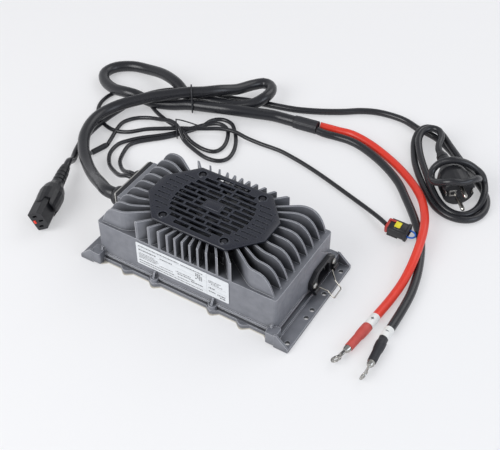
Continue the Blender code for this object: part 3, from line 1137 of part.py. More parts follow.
def build_mains_connector():
    """Make the locking inlet connector: ribbed boot, round shroud, nose with three slots and its red lock insert."""
    rear = metres((*CONNECTOR_REAR, CONNECTOR_AXIS_HEIGHT))
    aimed = rear + Vector((0.37, -0.93, 0.0)) * 0.1
    frame = aim(rear, aimed, math.radians(24.0))
    profile = [(0, 73 * MM), (12.6 * MM, 73 * MM), (13.4 * MM, 71 * MM), (14.4 * MM, 60 * MM), (14.6 * MM, 50 * MM),
               (12.4 * MM, 41 * MM), (8.4 * MM, 33 * MM)]
    for rib in range(4):
        top = 31 - 6 * rib
        profile += [(7.6 * MM - rib * 0.25 * MM, top * MM), (7.5 * MM - rib * 0.25 * MM, (top - 3.6) * MM),
                    (6.3 * MM - rib * 0.2 * MM, (top - 4.0) * MM), (6.3 * MM - rib * 0.2 * MM, (top - 5.6) * MM)]
    profile += [(6.2 * MM, 6 * MM), (5.4 * MM, 0), (0, 0)]
    body = lathe("mains_connector", profile, "black_plastic", 20, frame @ Matrix.Diagonal((0.96, 1.0, 1.0, 1.0)))
    nose_start = 60 * MM
    nose_end = 92 * MM
    recess = prism("nose_recess", [rounded(rectangle((0, 0), (10.4 * MM, 12.4 * MM)), 4 * MM, 2)], 66 * MM, 76 * MM, None, frame)
    combine(body, [recess], "DIFFERENCE")
    half = (8.0 * MM, 11.8 * MM)
    outline = [(-half[0], -half[1]), (half[0] - 4 * MM, -half[1]), (half[0], -half[1] + 4 * MM), (half[0], half[1] - 4 * MM),
               (half[0] - 4 * MM, half[1]), (-half[0], half[1])]
    nose = prism("connector_nose", [rounded(outline, 1.2 * MM, 2)], nose_start, nose_end, None, frame)
    combine(body, [nose])
    slots = [prism(f"slot_{number}", [rectangle(centre, half_slot)], nose_end - 14 * MM, nose_end + 2 * MM, None, frame)
             for number, (centre, half_slot) in enumerate((((2.6 * MM, 0.0), (2.6 * MM, 1.2 * MM)),
                                                           ((-1.4 * MM, 7.0 * MM), (2.6 * MM, 1.2 * MM)),
                                                           ((-1.4 * MM, -7.0 * MM), (2.6 * MM, 1.2 * MM))))]
    lock_hole = prism("lock_hole", [rectangle((-5.2 * MM, 0), (1.7 * MM, 2.3 * MM))], nose_end - 8 * MM, nose_end + 2 * MM, None, frame)
    combine(body, slots + [lock_hole], "DIFFERENCE")


def build_mains_plug():
    """Make the earthed mains plug beside the hank's inner wall: ringed boot, round body, pins and earth slots."""
    first, second = (metres(end) for end in MAINS_HANK_ENDS)
    way = Vector((second.x - first.x, second.y - first.y, 0.0)).normalized()
    across = Vector((-way.y, way.x, 0.0))
    inner = (MAINS_HANK_RADIUS - MAINS_HANK_WALL) * MM
    rear = Vector((first.x, first.y, PLUG_RADIUS + PLUG_ROOM)) + way * PLUG_ALONG
    rear -= across * (inner - PLUG_RADIUS - PLUG_ROOM)
    frame = aim(rear, rear + way, math.pi / 2)
    face = PLUG_LENGTH
    neck = face - 40 * MM
    profile = [(0, face), (PLUG_RADIUS - 1.2 * MM, face), (PLUG_RADIUS - 0.2 * MM, face - 1.4 * MM),
               (PLUG_RADIUS, neck + 22 * MM), (PLUG_RADIUS - 1.6 * MM, neck + 13 * MM),
               (PLUG_RADIUS - 5.4 * MM, neck + 5 * MM), (PLUG_RADIUS - 8.2 * MM, neck)]
    pitch = (neck - 4 * MM) / PLUG_BOOT_RINGS
    for ring in range(PLUG_BOOT_RINGS):
        crest = (8.6 - 0.6 * ring) * MM
        waist = (6.6 - 0.4 * ring) * MM
        top = neck - 1 * MM - pitch * ring
        profile += [(crest, top), (crest - 0.2 * MM, top - 0.6 * pitch),
                    (waist, top - 0.66 * pitch), (waist, top - 0.9 * pitch)]
    profile += [(4.8 * MM, 0), (0, 0)]
    body = lathe("mains_plug", profile, "black_plastic", 24, frame)
    cuts = []
    for number, sign in enumerate((-1, 1)):
        slot = rectangle((0, sign * PLUG_EARTH_OFFSET), (4.4 * MM, 3.2 * MM))
        cuts.append(prism(f"earth_slot_{number}", [slot], face - 12 * MM, face + 2 * MM, None, frame))
        seat = circle((sign * PLUG_PIN_OFFSET, 0), PLUG_PIN_RADIUS + GAP, 12)
        cuts.append(prism(f"pin_seat_{number}", [seat], face - 8 * MM, face + 2 * MM, None, frame))
        root = face - 8 * MM + GAP
        tip = face + PLUG_PIN_LENGTH
        pin = [(0, tip), (PLUG_PIN_RADIUS - 0.9 * MM, tip), (PLUG_PIN_RADIUS, tip - 1.4 * MM),
               (PLUG_PIN_RADIUS, root), (0, root)]
        lathe(f"plug_pin_{number + 1}", pin, "tinned_metal", 12,
              frame @ Matrix.Translation((sign * PLUG_PIN_OFFSET, 0, 0)))
    combine(body, cuts, "DIFFERENCE")


def wrap(circles, offset, steps=5):
    """Return the taut outline around circles (across, height, radius), grown by offset."""
    points = []
    for across, height, radius in circles:
        points += arc((across, height), radius + offset, 0.0, math.tau * (4 * steps - 1) / (4 * steps), 4 * steps - 1)
    points.sort()
    def half(run):
        kept = []
        for point in run:
            while len(kept) > 1 and ((kept[-1][0] - kept[-2][0]) * (point[1] - kept[-2][1])
                                     - (kept[-1][1] - kept[-2][1]) * (point[0] - kept[-2][0])) <= 0:
                kept.pop()
            kept.append(point)
        return kept[:-1]
    return half(points) + half(points[::-1])


def build_tie():
    """Make the wire tie round the output cable's three runs."""
    centre = metres(TIE_CENTRE)
    across = Vector((-math.sin(TIE_HEADING), math.cos(TIE_HEADING), 0.0))
    runs = [tuple(value * MM for value in run) for run in TIE_RUNS]
    ring = [centre + across * side + Vector((0, 0, max(height, TIE_RADIUS + STEP)))
            for side, height in wrap(runs, TIE_RADIUS + 2 * GAP)]
    tube("output_tie", [ring], TIE_RADIUS, "black_rubber", 2, True)


build_housing()
build_base()
build_grille()
build_fan()
build_gland_end()
build_inlet()
build_electronics()
build_label()
build_output_leads()
build_signal_leads()
build_mains_lead()
build_tie()
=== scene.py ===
"""Looks of a forklift battery charger with its leads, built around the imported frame."""

import json
import logging
import math
from dataclasses import dataclass, field
from enum import Enum

import bpy
from mathutils import Matrix, Vector


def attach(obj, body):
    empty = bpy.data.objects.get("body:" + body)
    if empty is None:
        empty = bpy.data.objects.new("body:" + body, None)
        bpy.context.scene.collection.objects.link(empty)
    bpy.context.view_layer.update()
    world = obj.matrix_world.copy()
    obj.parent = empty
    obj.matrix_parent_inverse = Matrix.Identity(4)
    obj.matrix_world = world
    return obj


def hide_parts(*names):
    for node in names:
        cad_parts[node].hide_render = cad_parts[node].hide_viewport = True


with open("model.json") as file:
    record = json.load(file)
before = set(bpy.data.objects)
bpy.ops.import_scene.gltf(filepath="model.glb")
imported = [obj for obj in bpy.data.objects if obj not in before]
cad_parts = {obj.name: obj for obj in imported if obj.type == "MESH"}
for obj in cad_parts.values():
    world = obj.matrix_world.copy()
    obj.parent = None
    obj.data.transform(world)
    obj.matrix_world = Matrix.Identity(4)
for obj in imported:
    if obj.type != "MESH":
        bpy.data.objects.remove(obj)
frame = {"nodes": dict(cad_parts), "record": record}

LOG = logging.getLogger("charger")
MM = 0.001
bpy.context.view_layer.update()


class Pattern(Enum):
    """What a surface's fine detail looks like."""

    CAST = "cast"
    GRAIN = "grain"
    SHEATH = "sheath"
    BRUSHED = "brushed"
    PLATED = "plated"
    PLAIN = "plain"


@dataclass(frozen=True)
class Finish:
    """A surface's colour and the numbers of its fine detail.

    Attributes:
        colour: Linear base colour.
        dark: Linear colour of its darker patches.
        roughness: Middle of its roughness.
        spread: How far the roughness wanders.
        metallic: 1 for bare metal, 0 for paint and plastic.
        scale: Patches for each metre of surface.
        bump: Depth of the fine relief in metres.
        pattern: Kind of fine relief.
        coat: Weight of the clear top layer.
        edge_highlight: Linear colour of the highlight painted onto sharp edges, or nothing.
    """

    colour: tuple[float, float, float]
    dark: tuple[float, float, float]
    roughness: float
    spread: float
    metallic: float
    scale: float
    bump: float
    pattern: Pattern
    coat: float = 0.0
    edge_highlight: tuple[float, float, float] | None = None


CAST, GRAIN, SHEATH, BRUSHED, PLATED, PLAIN = Pattern
# The fields of each finish, in the order of its class
FINISH_ROWS: dict[str, tuple] = {
    # The last colour of cast_grey and of grille_plastic is the highlight painted onto their sharp edges
    "cast_grey": ((0.205, 0.211, 0.234), (0.165, 0.171, 0.193), 0.40, 0.06, 0.15, 420.0, 0.00006, CAST, 0.0,
                  (0.50, 0.51, 0.54)),
    "black_plastic": ((0.0135, 0.0138, 0.0165), (0.010, 0.0103, 0.013), 0.38, 0.06, 0.0, 900.0, 0.00003, GRAIN),
    "black_rubber": ((0.016, 0.0165, 0.021), (0.012, 0.0125, 0.016), 0.50, 0.08, 0.0, 700.0, 0.00004, GRAIN),
    "cable_black": ((0.0175, 0.0180, 0.0215), (0.0135, 0.014, 0.0175), 0.28, 0.05, 0.0, 130.0, 0.00004, SHEATH),
    "cable_red": ((0.76, 0.042, 0.020), (0.68, 0.032, 0.015), 0.36, 0.06, 0.0, 120.0, 0.00004, SHEATH),
    "dull_red": ((0.56, 0.080, 0.065), (0.48, 0.060, 0.048), 0.52, 0.08, 0.0, 300.0, 0.00006, GRAIN),
    "tinned_metal": ((0.50, 0.49, 0.46), (0.36, 0.35, 0.33), 0.26, 0.08, 1.0, 500.0, 0.00003, PLATED),
    "dark_steel": ((0.060, 0.062, 0.070), (0.040, 0.041, 0.048), 0.30, 0.06, 0.9, 500.0, 0.00002, PLATED),
    "sheet_aluminium": ((0.60, 0.59, 0.56), (0.48, 0.47, 0.45), 0.38, 0.08, 0.9, 300.0, 0.00003, BRUSHED),
    "white_label": ((0.69, 0.71, 0.73), (0.64, 0.66, 0.68), 0.40, 0.04, 0.0, 500.0, 0.00002, PLAIN),
    "yellow_plastic": ((0.80, 0.72, 0.03), (0.70, 0.60, 0.02), 0.36, 0.05, 0.0, 600.0, 0.00003, GRAIN),
    "green_board": ((0.02, 0.16, 0.07), (0.012, 0.10, 0.045), 0.45, 0.05, 0.0, 300.0, 0.00003, PLAIN),
    "ferrite": ((0.03, 0.03, 0.033), (0.02, 0.02, 0.022), 0.60, 0.06, 0.1, 600.0, 0.00005, GRAIN),
    "copper_wire": ((0.60, 0.26, 0.10), (0.42, 0.17, 0.06), 0.34, 0.08, 0.9, 500.0, 0.00006, BRUSHED),
    "capacitor_sleeve": ((0.02, 0.05, 0.18), (0.015, 0.04, 0.14), 0.38, 0.05, 0.0, 400.0, 0.00002, PLAIN),
    "brass": ((0.62, 0.46, 0.18), (0.50, 0.36, 0.12), 0.30, 0.06, 1.0, 400.0, 0.00003, BRUSHED),
    "clear_lens": ((0.09, 0.095, 0.10), (0.07, 0.075, 0.08), 0.16, 0.04, 0.0, 400.0, 0.00001, PLAIN, 1.0),
    "blue_wire": ((0.030, 0.20, 0.80), (0.022, 0.16, 0.68), 0.34, 0.05, 0.0, 400.0, 0.00002, PLAIN),
    "socket_dark": ((0.006, 0.006, 0.007), (0.004, 0.004, 0.005), 0.50, 0.05, 0.0, 700.0, 0.00003, GRAIN),
    "label_print": ((0.16, 0.165, 0.175), (0.12, 0.125, 0.13), 0.45, 0.04, 0.0, 500.0, 0.00001, PLAIN),
    "label_band": ((0.50, 0.51, 0.53), (0.46, 0.47, 0.49), 0.42, 0.04, 0.0, 500.0, 0.00001, PLAIN),
    "grille_plastic": ((0.0165, 0.0185, 0.029), (0.0125, 0.014, 0.022), 0.30, 0.05, 0.0, 900.0, 0.00002, GRAIN, 0.0,
                       (0.070, 0.077, 0.098)),
    "cover_edge": ((0.60, 0.57, 0.50), (0.50, 0.47, 0.41), 0.42, 0.06, 0.2, 300.0, 0.00003, BRUSHED),
    "seal_bright": ((0.50, 0.045, 0.035), (0.40, 0.03, 0.025), 0.42, 0.05, 0.0, 400.0, 0.00002, GRAIN),
    "spring_wire": ((0.30, 0.29, 0.265), (0.22, 0.21, 0.19), 0.24, 0.06, 1.0, 500.0, 0.00002, PLATED),
    "clear_seal": ((0.55, 0.55, 0.54), (0.46, 0.46, 0.45), 0.30, 0.05, 0.0, 400.0, 0.00002, PLAIN),
    "marker_white": ((0.80, 0.80, 0.78), (0.72, 0.72, 0.70), 0.46, 0.05, 0.0, 400.0, 0.00002, PLAIN),
}
FINISHES: dict[str, Finish] = {name: Finish(*row) for name, row in FINISH_ROWS.items()}
# CAD pieces whose look differs from their slot's
LOOKS = {f"grille_screw_{number}": "dark_steel" for number in range(1, 5)} | {
    "base_cover": "cover_edge", "retaining_bail": "spring_wire"}

# Route points in millimetres, repeated from the part's source
OUTPUT_ROUTE = (
    (-119.8, -9, 48), (-130, -8.4, 47.6), (-148, 3, 40), (-175, 22, 26), (-200, 41, 18.5), (-223, 62, 16.4),
    (-241, 88, 16.4), (-249, 120, 16.5), (-240, 150, 18), (-215, 176, 23), (-196, 192, 24.8), (-177, 209.3, 25.2),
    (-160, 221, 25.2), (-145, 236, 24.2), (-133, 256, 18), (-124, 277, 15), (-113, 289, 15),
    (-101, 286, 16), (-94, 273, 17.5), (-95, 258, 17), (-104, 246, 12.5), (-120, 237, 9),
    (-140, 231, 9.2), (-160, 226, 10.0), (-182, 220, 10.6), (-206, 229, 17), (-234, 239, 15),
    (-262, 244, 9.5), (-286, 241, 8), (-304, 228, 7.5), (-308, 210, 7.5), (-295, 194, 8.5),
    (-272, 183, 12), (-250, 180, 16.6), (-237, 182, 16.2), (-222, 186.5, 10.5), (-209, 191, 8), (-190, 198, 8.6),
    (-172, 206, 10.6), (-150, 212, 12), (-120, 220, 14), (-92, 232, 12), (-72, 242.6, 9), (-56, 245.6, 8.3),
    (-44.45, 246.95, 8.3))
POSITIVE_ROUTE = (
    (-13.4, 255.6, 8.3), (-2, 259.5, 6.5), (8, 262.5, 5), (28, 265, 4.9), (57, 258, 4.9), (91, 242.5, 4.9),
    (120, 223, 6), (144, 199, 9), (161, 171, 13), (172, 142, 15.5), (179, 108, 13.5), (182, 75, 8),
    (181, 47, 5.2), (178.6, 19.3, 5.1), (177.9, 8.5, 5.2))
NEGATIVE_ROUTE = (
    (-12.2, 245.6, 8.3), (-2, 247, 6.5), (10, 250.5, 5), (30, 252, 4.9), (52, 247, 4.9), (82, 233, 4.9),
    (110, 213.5, 4.9), (132, 190, 4.9), (153, 165, 4.9), (172, 138, 4.9), (186, 102, 4.9),
    (194, 68, 4.9), (196.5, 40, 4.9), (197, 8.3, 5.1), (196.7, -2.5, 5.2))
POSITIVE_BOOT = ((177.8, 7.7, 5.3), (176.6, -10, 5.6), (173.3, -33.6, 5.8))
NEGATIVE_BOOT = ((196.6, -3.3, 5.3), (197.5, -18, 5.6), (199.6, -37.7, 5.8))
SIGNAL_ROUTE = (
    (-119.4, 22.2, 48), (-128, 22.4, 46.8), (-141, 27, 38), (-162, 42, 24), (-186, 62, 10), (-203, 84, 3.4),
    (-206, 103, 2.8), (-199.5, 116, 2.8), (-189, 129, 2.8), (-176, 141, 2.8), (-166, 151, 2.8), (-157, 163, 2.8),
    (-146, 179, 2.8), (-135, 193, 3.0), (-122, 199, 4.5), (-108, 194, 4.5), (-99, 179, 3.0), (-95.5, 163, 2.8),
    (-100, 152, 2.8), (-114, 149, 2.8), (-134, 153, 3.5), (-150, 159, 8.2), (-163, 163, 8.2), (-180, 169, 6),
    (-204, 180, 3.2), (-228, 193.5, 2.8), (-246, 200, 2.8), (-263, 197.5, 2.8), (-275, 184, 2.8), (-277, 164, 2.8),
    (-269, 145, 2.8), (-252, 130, 2.8), (-230, 123, 2.8), (-210, 127, 4.2), (-190, 140, 8), (-173, 151, 8.6),
    (-158, 161, 8.6), (-146, 168, 8.4), (-130, 178, 8.0), (-112, 187, 9), (-96, 191, 8.5), (-79, 192.5, 4.5),
    (-60, 193.5, 2.8), (-34, 194, 2.8), (-10, 190, 2.8), (13, 184.5, 2.8), (38, 177, 2.8), (62, 169, 2.8),
    (82, 162, 3), (100, 155, 4), (118, 146, 6.5), (131, 138.5, 8.3))
LAMP_ROUTE = (
    (-119.4, 27.8, 48), (-128, 29.2, 46.2), (-142, 38, 35), (-160, 53, 21), (-180, 74, 8), (-190, 92, 3.1),
    (-193.5, 108, 2.9), (-189, 119, 2.8), (-179, 130, 2.8), (-168, 141, 2.8), (-159, 152, 2.8), (-150, 166, 2.8),
    (-140, 184, 2.8), (-136, 201, 2.8), (-126, 210, 2.8), (-112, 209, 2.8), (-100, 198, 2.8), (-89, 183, 2.8),
    (-81, 166, 2.8), (-79, 150, 2.8), (-86, 140, 2.8), (-101, 137, 2.8), (-121, 142, 2.8), (-143, 151, 3.5),
    (-156, 158, 13.5), (-170, 163, 13.5), (-186, 164, 9), (-204, 163, 5), (-219, 156, 3.0), (-227, 142, 2.9),
    (-225, 126, 3.2), (-220, 110, 3.4), (-215.8, 95.6, 3.6))
MAINS_ROUTE = (
    (-221.2, 27.1, 15), (-225.4, 37.6, 14.2), (-231, 50, 6), (-239, 66, 4.3), (-245.5, 85, 4.3), (-249, 108, 4.3),
    (-249, 135, 4.3), (-246, 160, 4.3), (-242, 182, 4.3), (-234, 203, 4.3), (-220, 221, 4.3), (-204, 233, 4.3),
    (-184, 243, 4.3), (-160, 248, 4.3), (-138, 252, 4.3), (-117, 259, 4.3), (-98, 264, 4.3), (-80, 268, 4.3),
    (-60, 273, 4.3), (-42, 280, 4.3), (-22, 290, 4.3), (-4, 301, 4.3), (14, 314, 4.3), (32, 322, 4.3),
    (52, 325, 4.3), (70, 324, 4.3))
# Wound part of the mains cord: along and across the hank from its far end, and height
HANK_ROUTE = (
    (-34, -9, 4.3), (-24, 0, 4.3), (-12, 8, 4.3), (4, 14, 4.3), (24, 19, 4.3), (46, 23, 4.3), (68, 28, 4.3),
    (88, 31, 4.3), (106, 29, 4.3), (122, 20, 4.3), (131, 6, 4.3), (130, -9, 4.3), (121, -22, 4.3),
    (106, -30.5, 4.3), (88, -33, 4.3), (66, -33.5, 4.3), (45, -33, 4.3), (26, -31, 4.3), (8, -27, 5),
    (-8, -22, 7.5), (-20, -14, 11), (-25, -3, 12.6), (-19, 8, 12.6), (-6, 12.5, 12.5), (12, 14.5, 12.4),
    (32, 17.5, 12), (50, 20.5, 11.5), (66, 22.5, 15), (80, 22, 21), (92, 20.5, 27), (100, 14.5, 34.5),
    (104.8, 6, 38), (106.8, -4.2, 37.3), (104.8, -14.4, 38), (100, -23, 34.5), (91, -28.5, 27.5),
    (80, -29.5, 23), (71, -26.5, 28), (68.5, -17, 36), (72, -4.2, 40.6), (76, 9.5, 38), (79.5, 20.5, 31),
    (81, 29, 22), (87, 31, 14), (100, 27, 11), (114, 17, 6), (122.5, 3, 4.3), (121.5, -10, 4.3),
    (112, -20, 5), (98, -25.5, 7), (80, -27.5, 9.3), (60, -27, 10.5), (38, -26, 11.5), (18, -24, 12.8),
    (0, -20, 16), (-11, -12, 18.6), (-14, -1, 19.9), (-7, 6.5, 20.2), (5, 5.5, 20), (17, -1, 19.6),
    (26, -4.2, 19.3), (32.9, -4.2, 19.3))
HANK_ENDS = ((119.0, 297.0), (183.1, 220.9))
HANK_INNER = 23.5
PLUG_RADIUS, PLUG_LENGTH, PLUG_ALONG, PLUG_ROOM = 18.8, 69.0, 33.3, 0.5
CONNECTOR_REAR = (-221.0, 26.6, 15.0)
OUTPUT_RADIUS, LEAD_RADIUS, SIGNAL_RADIUS, MAINS_RADIUS = 7.0, 4.7, 2.5, 4.0
# The label's left and top edges, and the plane of its face
LABEL_LEFT, LABEL_TOP, LABEL_FACE = -57.0, 48.8, -56.3
# Angles under which faces are shaded as one, and distances at which points are merged
SMOOTH_ANGLE, TUBE_ANGLE, GRILLE_ANGLE = (math.radians(angle) for angle in (35, 50, 30))
MERGE, TUBE_MERGE = 1e-6, 1e-7
# Share of a finish's own colour kept in its deep recesses, where shade is painted into the colour
RECESS_SHADE = 0.28


def set_inputs(node: bpy.types.Node, values: dict[str | int, object]) -> None:
    """Fill a node's inputs.

    Args:
        node: The node.
        values: By name or number of an input, its value or the output that it is linked to.
    """
    for name, value in values.items():
        if isinstance(value, bpy.types.NodeSocket):
            node.id_data.links.new(value, node.inputs[name])
        else:
            node.inputs[name].default_value = value


def add_node(tree: bpy.types.NodeTree, kind: str, values: dict[str | int, object] | None = None,
             **settings: object) -> bpy.types.Node:
    """Add a shader node.

    Args:
        tree: The tree that it goes in.
        kind: Its type, without the leading "ShaderNode".
        values: What its inputs are filled with.
        settings: The node's own attributes, set before its inputs.

    Returns:
        The node.
    """
    node = tree.nodes.new(f"ShaderNode{kind}")
    for name, value in settings.items():
        setattr(node, name, value)
    set_inputs(node, values or {})
    return node


class Shaders:
    """Makes each material once, from two shared node groups."""

    def __init__(self) -> None:
        self.patches = self._patches()
        self.relief = self._relief()
        self.made: dict[str, bpy.types.Material] = {}

    @staticmethod
    def _group(name: str, inputs: dict[str, float], output: str) -> bpy.types.NodeTree:
        """Start a node group.

        Args:
            name: The group's name.
            inputs: Default value of each named input.
            output: Name of the single output.

        Returns:
            The new group.
        """
        group = bpy.data.node_groups.new(name, "ShaderNodeTree")
        for label, default in inputs.items():
            made = group.interface.new_socket(name=label, in_out="INPUT", socket_type="NodeSocketFloat")
            made.default_value = default
        group.interface.new_socket(name=output, in_out="OUTPUT", socket_type="NodeSocketFloat")
        return group

    def _patches(self) -> bpy.types.NodeTree:
        """Make the group that gives a soft patchy mask from object coordinates.

        Returns:
            The group.
        """
        group = self._group("patches", {"Scale": 100.0}, "Mask")
        enter, leave = group.nodes.new("NodeGroupInput"), group.nodes.new("NodeGroupOutput")
        place = add_node(group, "TexCoord")
        large = add_node(group, "TexNoise", {"Vector": place.outputs["Object"], "Scale": enter.outputs["Scale"],
                                             "Detail": 5.0, "Roughness": 0.62})
        spread = add_node(group, "MapRange", {"Value": large.outputs["Fac"], "From Min": 0.32, "From Max": 0.68})
        set_inputs(leave, {"Mask": spread.outputs["Result"]})
        return group

    def _relief(self) -> bpy.types.NodeTree:
        """Make the group that gives the fine relief's height from object coordinates.

        Returns:
            The group.
        """
        group = self._group("relief", {"Scale": 800.0, "Stretch": 1.0}, "Height")
        enter, leave = group.nodes.new("NodeGroupInput"), group.nodes.new("NodeGroupOutput")
        place = add_node(group, "TexCoord")
        split = add_node(group, "SeparateXYZ", {0: place.outputs["Object"]})
        longer = add_node(group, "Math", {0: split.outputs["X"], 1: enter.outputs["Stretch"]}, operation="MULTIPLY")
        joined = add_node(group, "CombineXYZ", {"X": longer.outputs[0], "Y": split.outputs["Y"],
                                                "Z": split.outputs["Z"]})
        common = {"Vector": joined.outputs[0], "Scale": enter.outputs["Scale"]}
        fine = add_node(group, "TexNoise", {**common, "Detail": 3.0})
        pits = add_node(group, "TexVoronoi", common)
        blend = add_node(group, "Math", {0: pits.outputs["Distance"], 1: 0.45, 2: fine.outputs["Fac"]},
                         operation="MULTIPLY_ADD")
        set_inputs(leave, {"Height": blend.outputs[0]})
        return group

    def material(self, name: str) -> bpy.types.Material:
        """Return the material of a finish, made on first use.

        Args:
            name: A key of FINISHES.

        Returns:
            The material.
        """
        if name in self.made:
            return self.made[name]
        look = FINISHES[name]
        cast = look.pattern is CAST
        material = bpy.data.materials.new(f"{name}_look")
        material.use_nodes = True
        tree = material.node_tree
        mask = add_node(tree, "Group", {"Scale": look.scale * (0.25 if cast else 0.4)}, node_tree=self.patches)
        mask = mask.outputs["Mask"]
        ramp = add_node(tree, "Mix", {"Factor": mask, "A": (*look.colour, 1.0), "B": (*look.dark, 1.0)},
                        data_type="RGBA")
        rough = add_node(tree, "MapRange", {"Value": mask, "To Min": look.roughness - look.spread,
                                            "To Max": look.roughness + look.spread})
        height = add_node(tree, "Group", {"Scale": look.scale * (2.2 if cast else 2.0),
                                          "Stretch": 0.06 if look.pattern is BRUSHED else 1.0},
                          node_tree=self.relief)
        bump = add_node(tree, "Bump", {"Height": height.outputs["Height"], "Distance": look.bump, "Strength": 0.6})
        if look.pattern in (CAST, GRAIN):
            edge = add_node(tree, "Bevel", {"Radius": (0.6 if cast else 0.3) * MM}, samples=6)
            set_inputs(bump, {"Normal": edge.outputs["Normal"]})
        colour = ramp.outputs["Result"]
        # Paint a highlight onto sharp edges and shade into deep recesses
        if look.edge_highlight:
            colour = self._shade_form(tree, colour, look)
        set_inputs(tree.nodes["Principled BSDF"], {
            "Base Color": colour, "Metallic": look.metallic, "Roughness": rough.outputs["Result"],
            "Coat Weight": look.coat, "Normal": bump.outputs["Normal"]})
        self.made[name] = material
        return material

    @staticmethod
    def _shade_form(tree: bpy.types.NodeTree, source: bpy.types.NodeSocket, look: Finish) -> bpy.types.NodeSocket:
        """Turn the colour of sharp edges lighter and of deep recesses darker.

        Args:
            tree: The material's tree.
            source: Output that gives the plain colour.
            look: The finish.

        Returns:
            Output that gives the shaded colour.
        """
        shape = add_node(tree, "NewGeometry")
        wide = add_node(tree, "Bevel", {"Radius": 1.2 * MM}, samples=8)
        nearness = add_node(tree, "VectorMath", {0: wide.outputs["Normal"], 1: shape.outputs["Normal"]},
                            operation="DOT_PRODUCT")
        depth = add_node(tree, "AmbientOcclusion", {"Distance": 14.0 * MM}, samples=8)
        recess = tuple(RECESS_SHADE * part for part in look.colour)
        # Painted shade darkens recesses by occlusion, then a painted highlight lightens sharp edges
        for value, low, high, target in ((depth.outputs["AO"], 0.85, 0.25, recess),
                                         (nearness.outputs["Value"], 0.985, 0.74, look.edge_highlight)):
            share = add_node(tree, "MapRange", {"Value": value, "From Min": low, "From Max": high})
            mixed = add_node(tree, "Mix", {"Factor": share.outputs["Result"], "A": source, "B": (*target, 1.0)},
                             data_type="RGBA")
            source = mixed.outputs["Result"]
        return source


SHADERS = Shaders()


@dataclass
class Maker:
    """Makes pieces, gives them their finish and ties them to the frame.

    Attributes:
        body: Name of the body that the pieces ride on.
        pieces: What has been made, by name.
    """

    body: str = "case"
    pieces: dict[str, bpy.types.Object] = field(default_factory=dict)

    def keep(self, thing: bpy.types.Object, name: str, finish: str, slot: str, *nodes: str) -> bpy.types.Object:
        """Name, finish and attach a piece.

        Args:
            thing: The object.
            name: Its new name.
            finish: A key of FINISHES.
            slot: The record's material slot, not used.
            nodes: CAD nodes that it stands for.

        Returns:
            The same object.
        """
        thing.name = name
        thing.data.name = name
        thing.data.materials.clear()
        thing.data.materials.append(SHADERS.material(finish))
        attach(thing, self.body)
        if nodes:
            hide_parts(*nodes)
        self.pieces[name] = thing
        return thing

    @staticmethod
    def settle(thing: bpy.types.Object, matrix: Matrix) -> None:
        """Move a mesh by a matrix and leave its object at the origin.

        Args:
            thing: The object.
            matrix: Where its mesh goes.
        """
        thing.data.transform(matrix @ thing.matrix_world)
        thing.matrix_world = Matrix.Identity(4)
        thing.data.update()

    def lathe(self, profile: list[tuple[float, float]], matrix: Matrix, sides: int = 32) -> bpy.types.Object:
        """Turn a closed profile about the local Z axis.

        Args:
            profile: Radius and height pairs in millimetres, top to bottom.
            matrix: Where the solid goes.
            sides: Steps round the axis.

        Returns:
            The solid.
        """
        thing = mesh_object("turned", [(radius * MM, 0, height * MM) for radius, height in profile],
                            [(index, index + 1) for index in range(len(profile) - 1)], [])
        choose(thing)
        screw = thing.modifiers.new("turn", "SCREW")
        screw.steps = screw.render_steps = sides
        screw.use_merge_vertices = True
        screw.merge_threshold = MERGE
        bpy.ops.object.modifier_apply(modifier=screw.name)
        face_outwards(MERGE)
        bpy.ops.object.shade_smooth_by_angle(angle=SMOOTH_ANGLE)
        self.settle(thing, matrix)
        return thing

    def block(self, size: tuple[float, ...], matrix: Matrix, edge: float,
              place: tuple[float, ...] = (0.0, 0.0, 0.0)) -> bpy.types.Object:
        """Make a block with rounded edges.

        Args:
            size: Its full sizes in millimetres.
            matrix: The frame that it lies in.
            edge: Radius of its edges in millimetres.
            place: Where its middle goes in that frame, in millimetres.

        Returns:
            The block.
        """
        bpy.ops.object.select_all(action="DESELECT")
        bpy.ops.mesh.primitive_cube_add(size=1.0)
        thing = bpy.context.active_object
        thing.scale = [value * MM for value in size]
        bpy.ops.object.transform_apply(scale=True)
        round_edges(thing, edge)
        bpy.ops.object.shade_smooth_by_angle(angle=SMOOTH_ANGLE)
        self.settle(thing, matrix @ Matrix.Translation(metres(place)))
        return thing


def drum(radius: float, top: float, low: float) -> list[tuple[float, float]]:
    """Return a plain cylinder's profile.

    Args:
        radius: Its radius in millimetres.
        top: Height of its top.
        low: Height of its underside.

    Returns:
        Radius and height pairs, top to bottom.
    """
    return [(0, top), (radius, top), (radius, low), (0, low)]


def cut(thing: bpy.types.Object, tool: bpy.types.Object, way: str = "DIFFERENCE") -> None:
    """Combine a solid with another and remove the other.

    Args:
        thing: The solid that stays.
        tool: The solid that goes.
        way: The boolean's kind.
    """
    choose(thing)
    boolean = thing.modifiers.new("cut", "BOOLEAN")
    boolean.operation = way
    boolean.object = tool
    bpy.ops.object.modifier_apply(modifier=boolean.name)
    bpy.data.objects.remove(tool)


def mesh_object(name: str, spots: list, edges: list, faces: list) -> bpy.types.Object:
    """Make an object from points in metres, edges and faces.

    Args:
        name: Name of the object and its mesh.
        spots: The points.
        edges: Pairs of point numbers.
        faces: Rings of point numbers.

    Returns:
        The object.
    """
    mesh = bpy.data.meshes.new(name)
    mesh.from_pydata(spots, edges, faces)
    thing = bpy.data.objects.new(name, mesh)
    bpy.context.scene.collection.objects.link(thing)
    return thing


def face_outwards(merge: float = 0.0) -> None:
    """Turn the active mesh's faces outwards.

    Args:
        merge: Distance in metres at which points are merged first, or 0 for no merging.
    """
    bpy.ops.object.mode_set(mode="EDIT")
    bpy.ops.mesh.select_all(action="SELECT")
    if merge:
        bpy.ops.mesh.remove_doubles(threshold=merge)
    bpy.ops.mesh.normals_make_consistent(inside=False)
    bpy.ops.object.mode_set(mode="OBJECT")


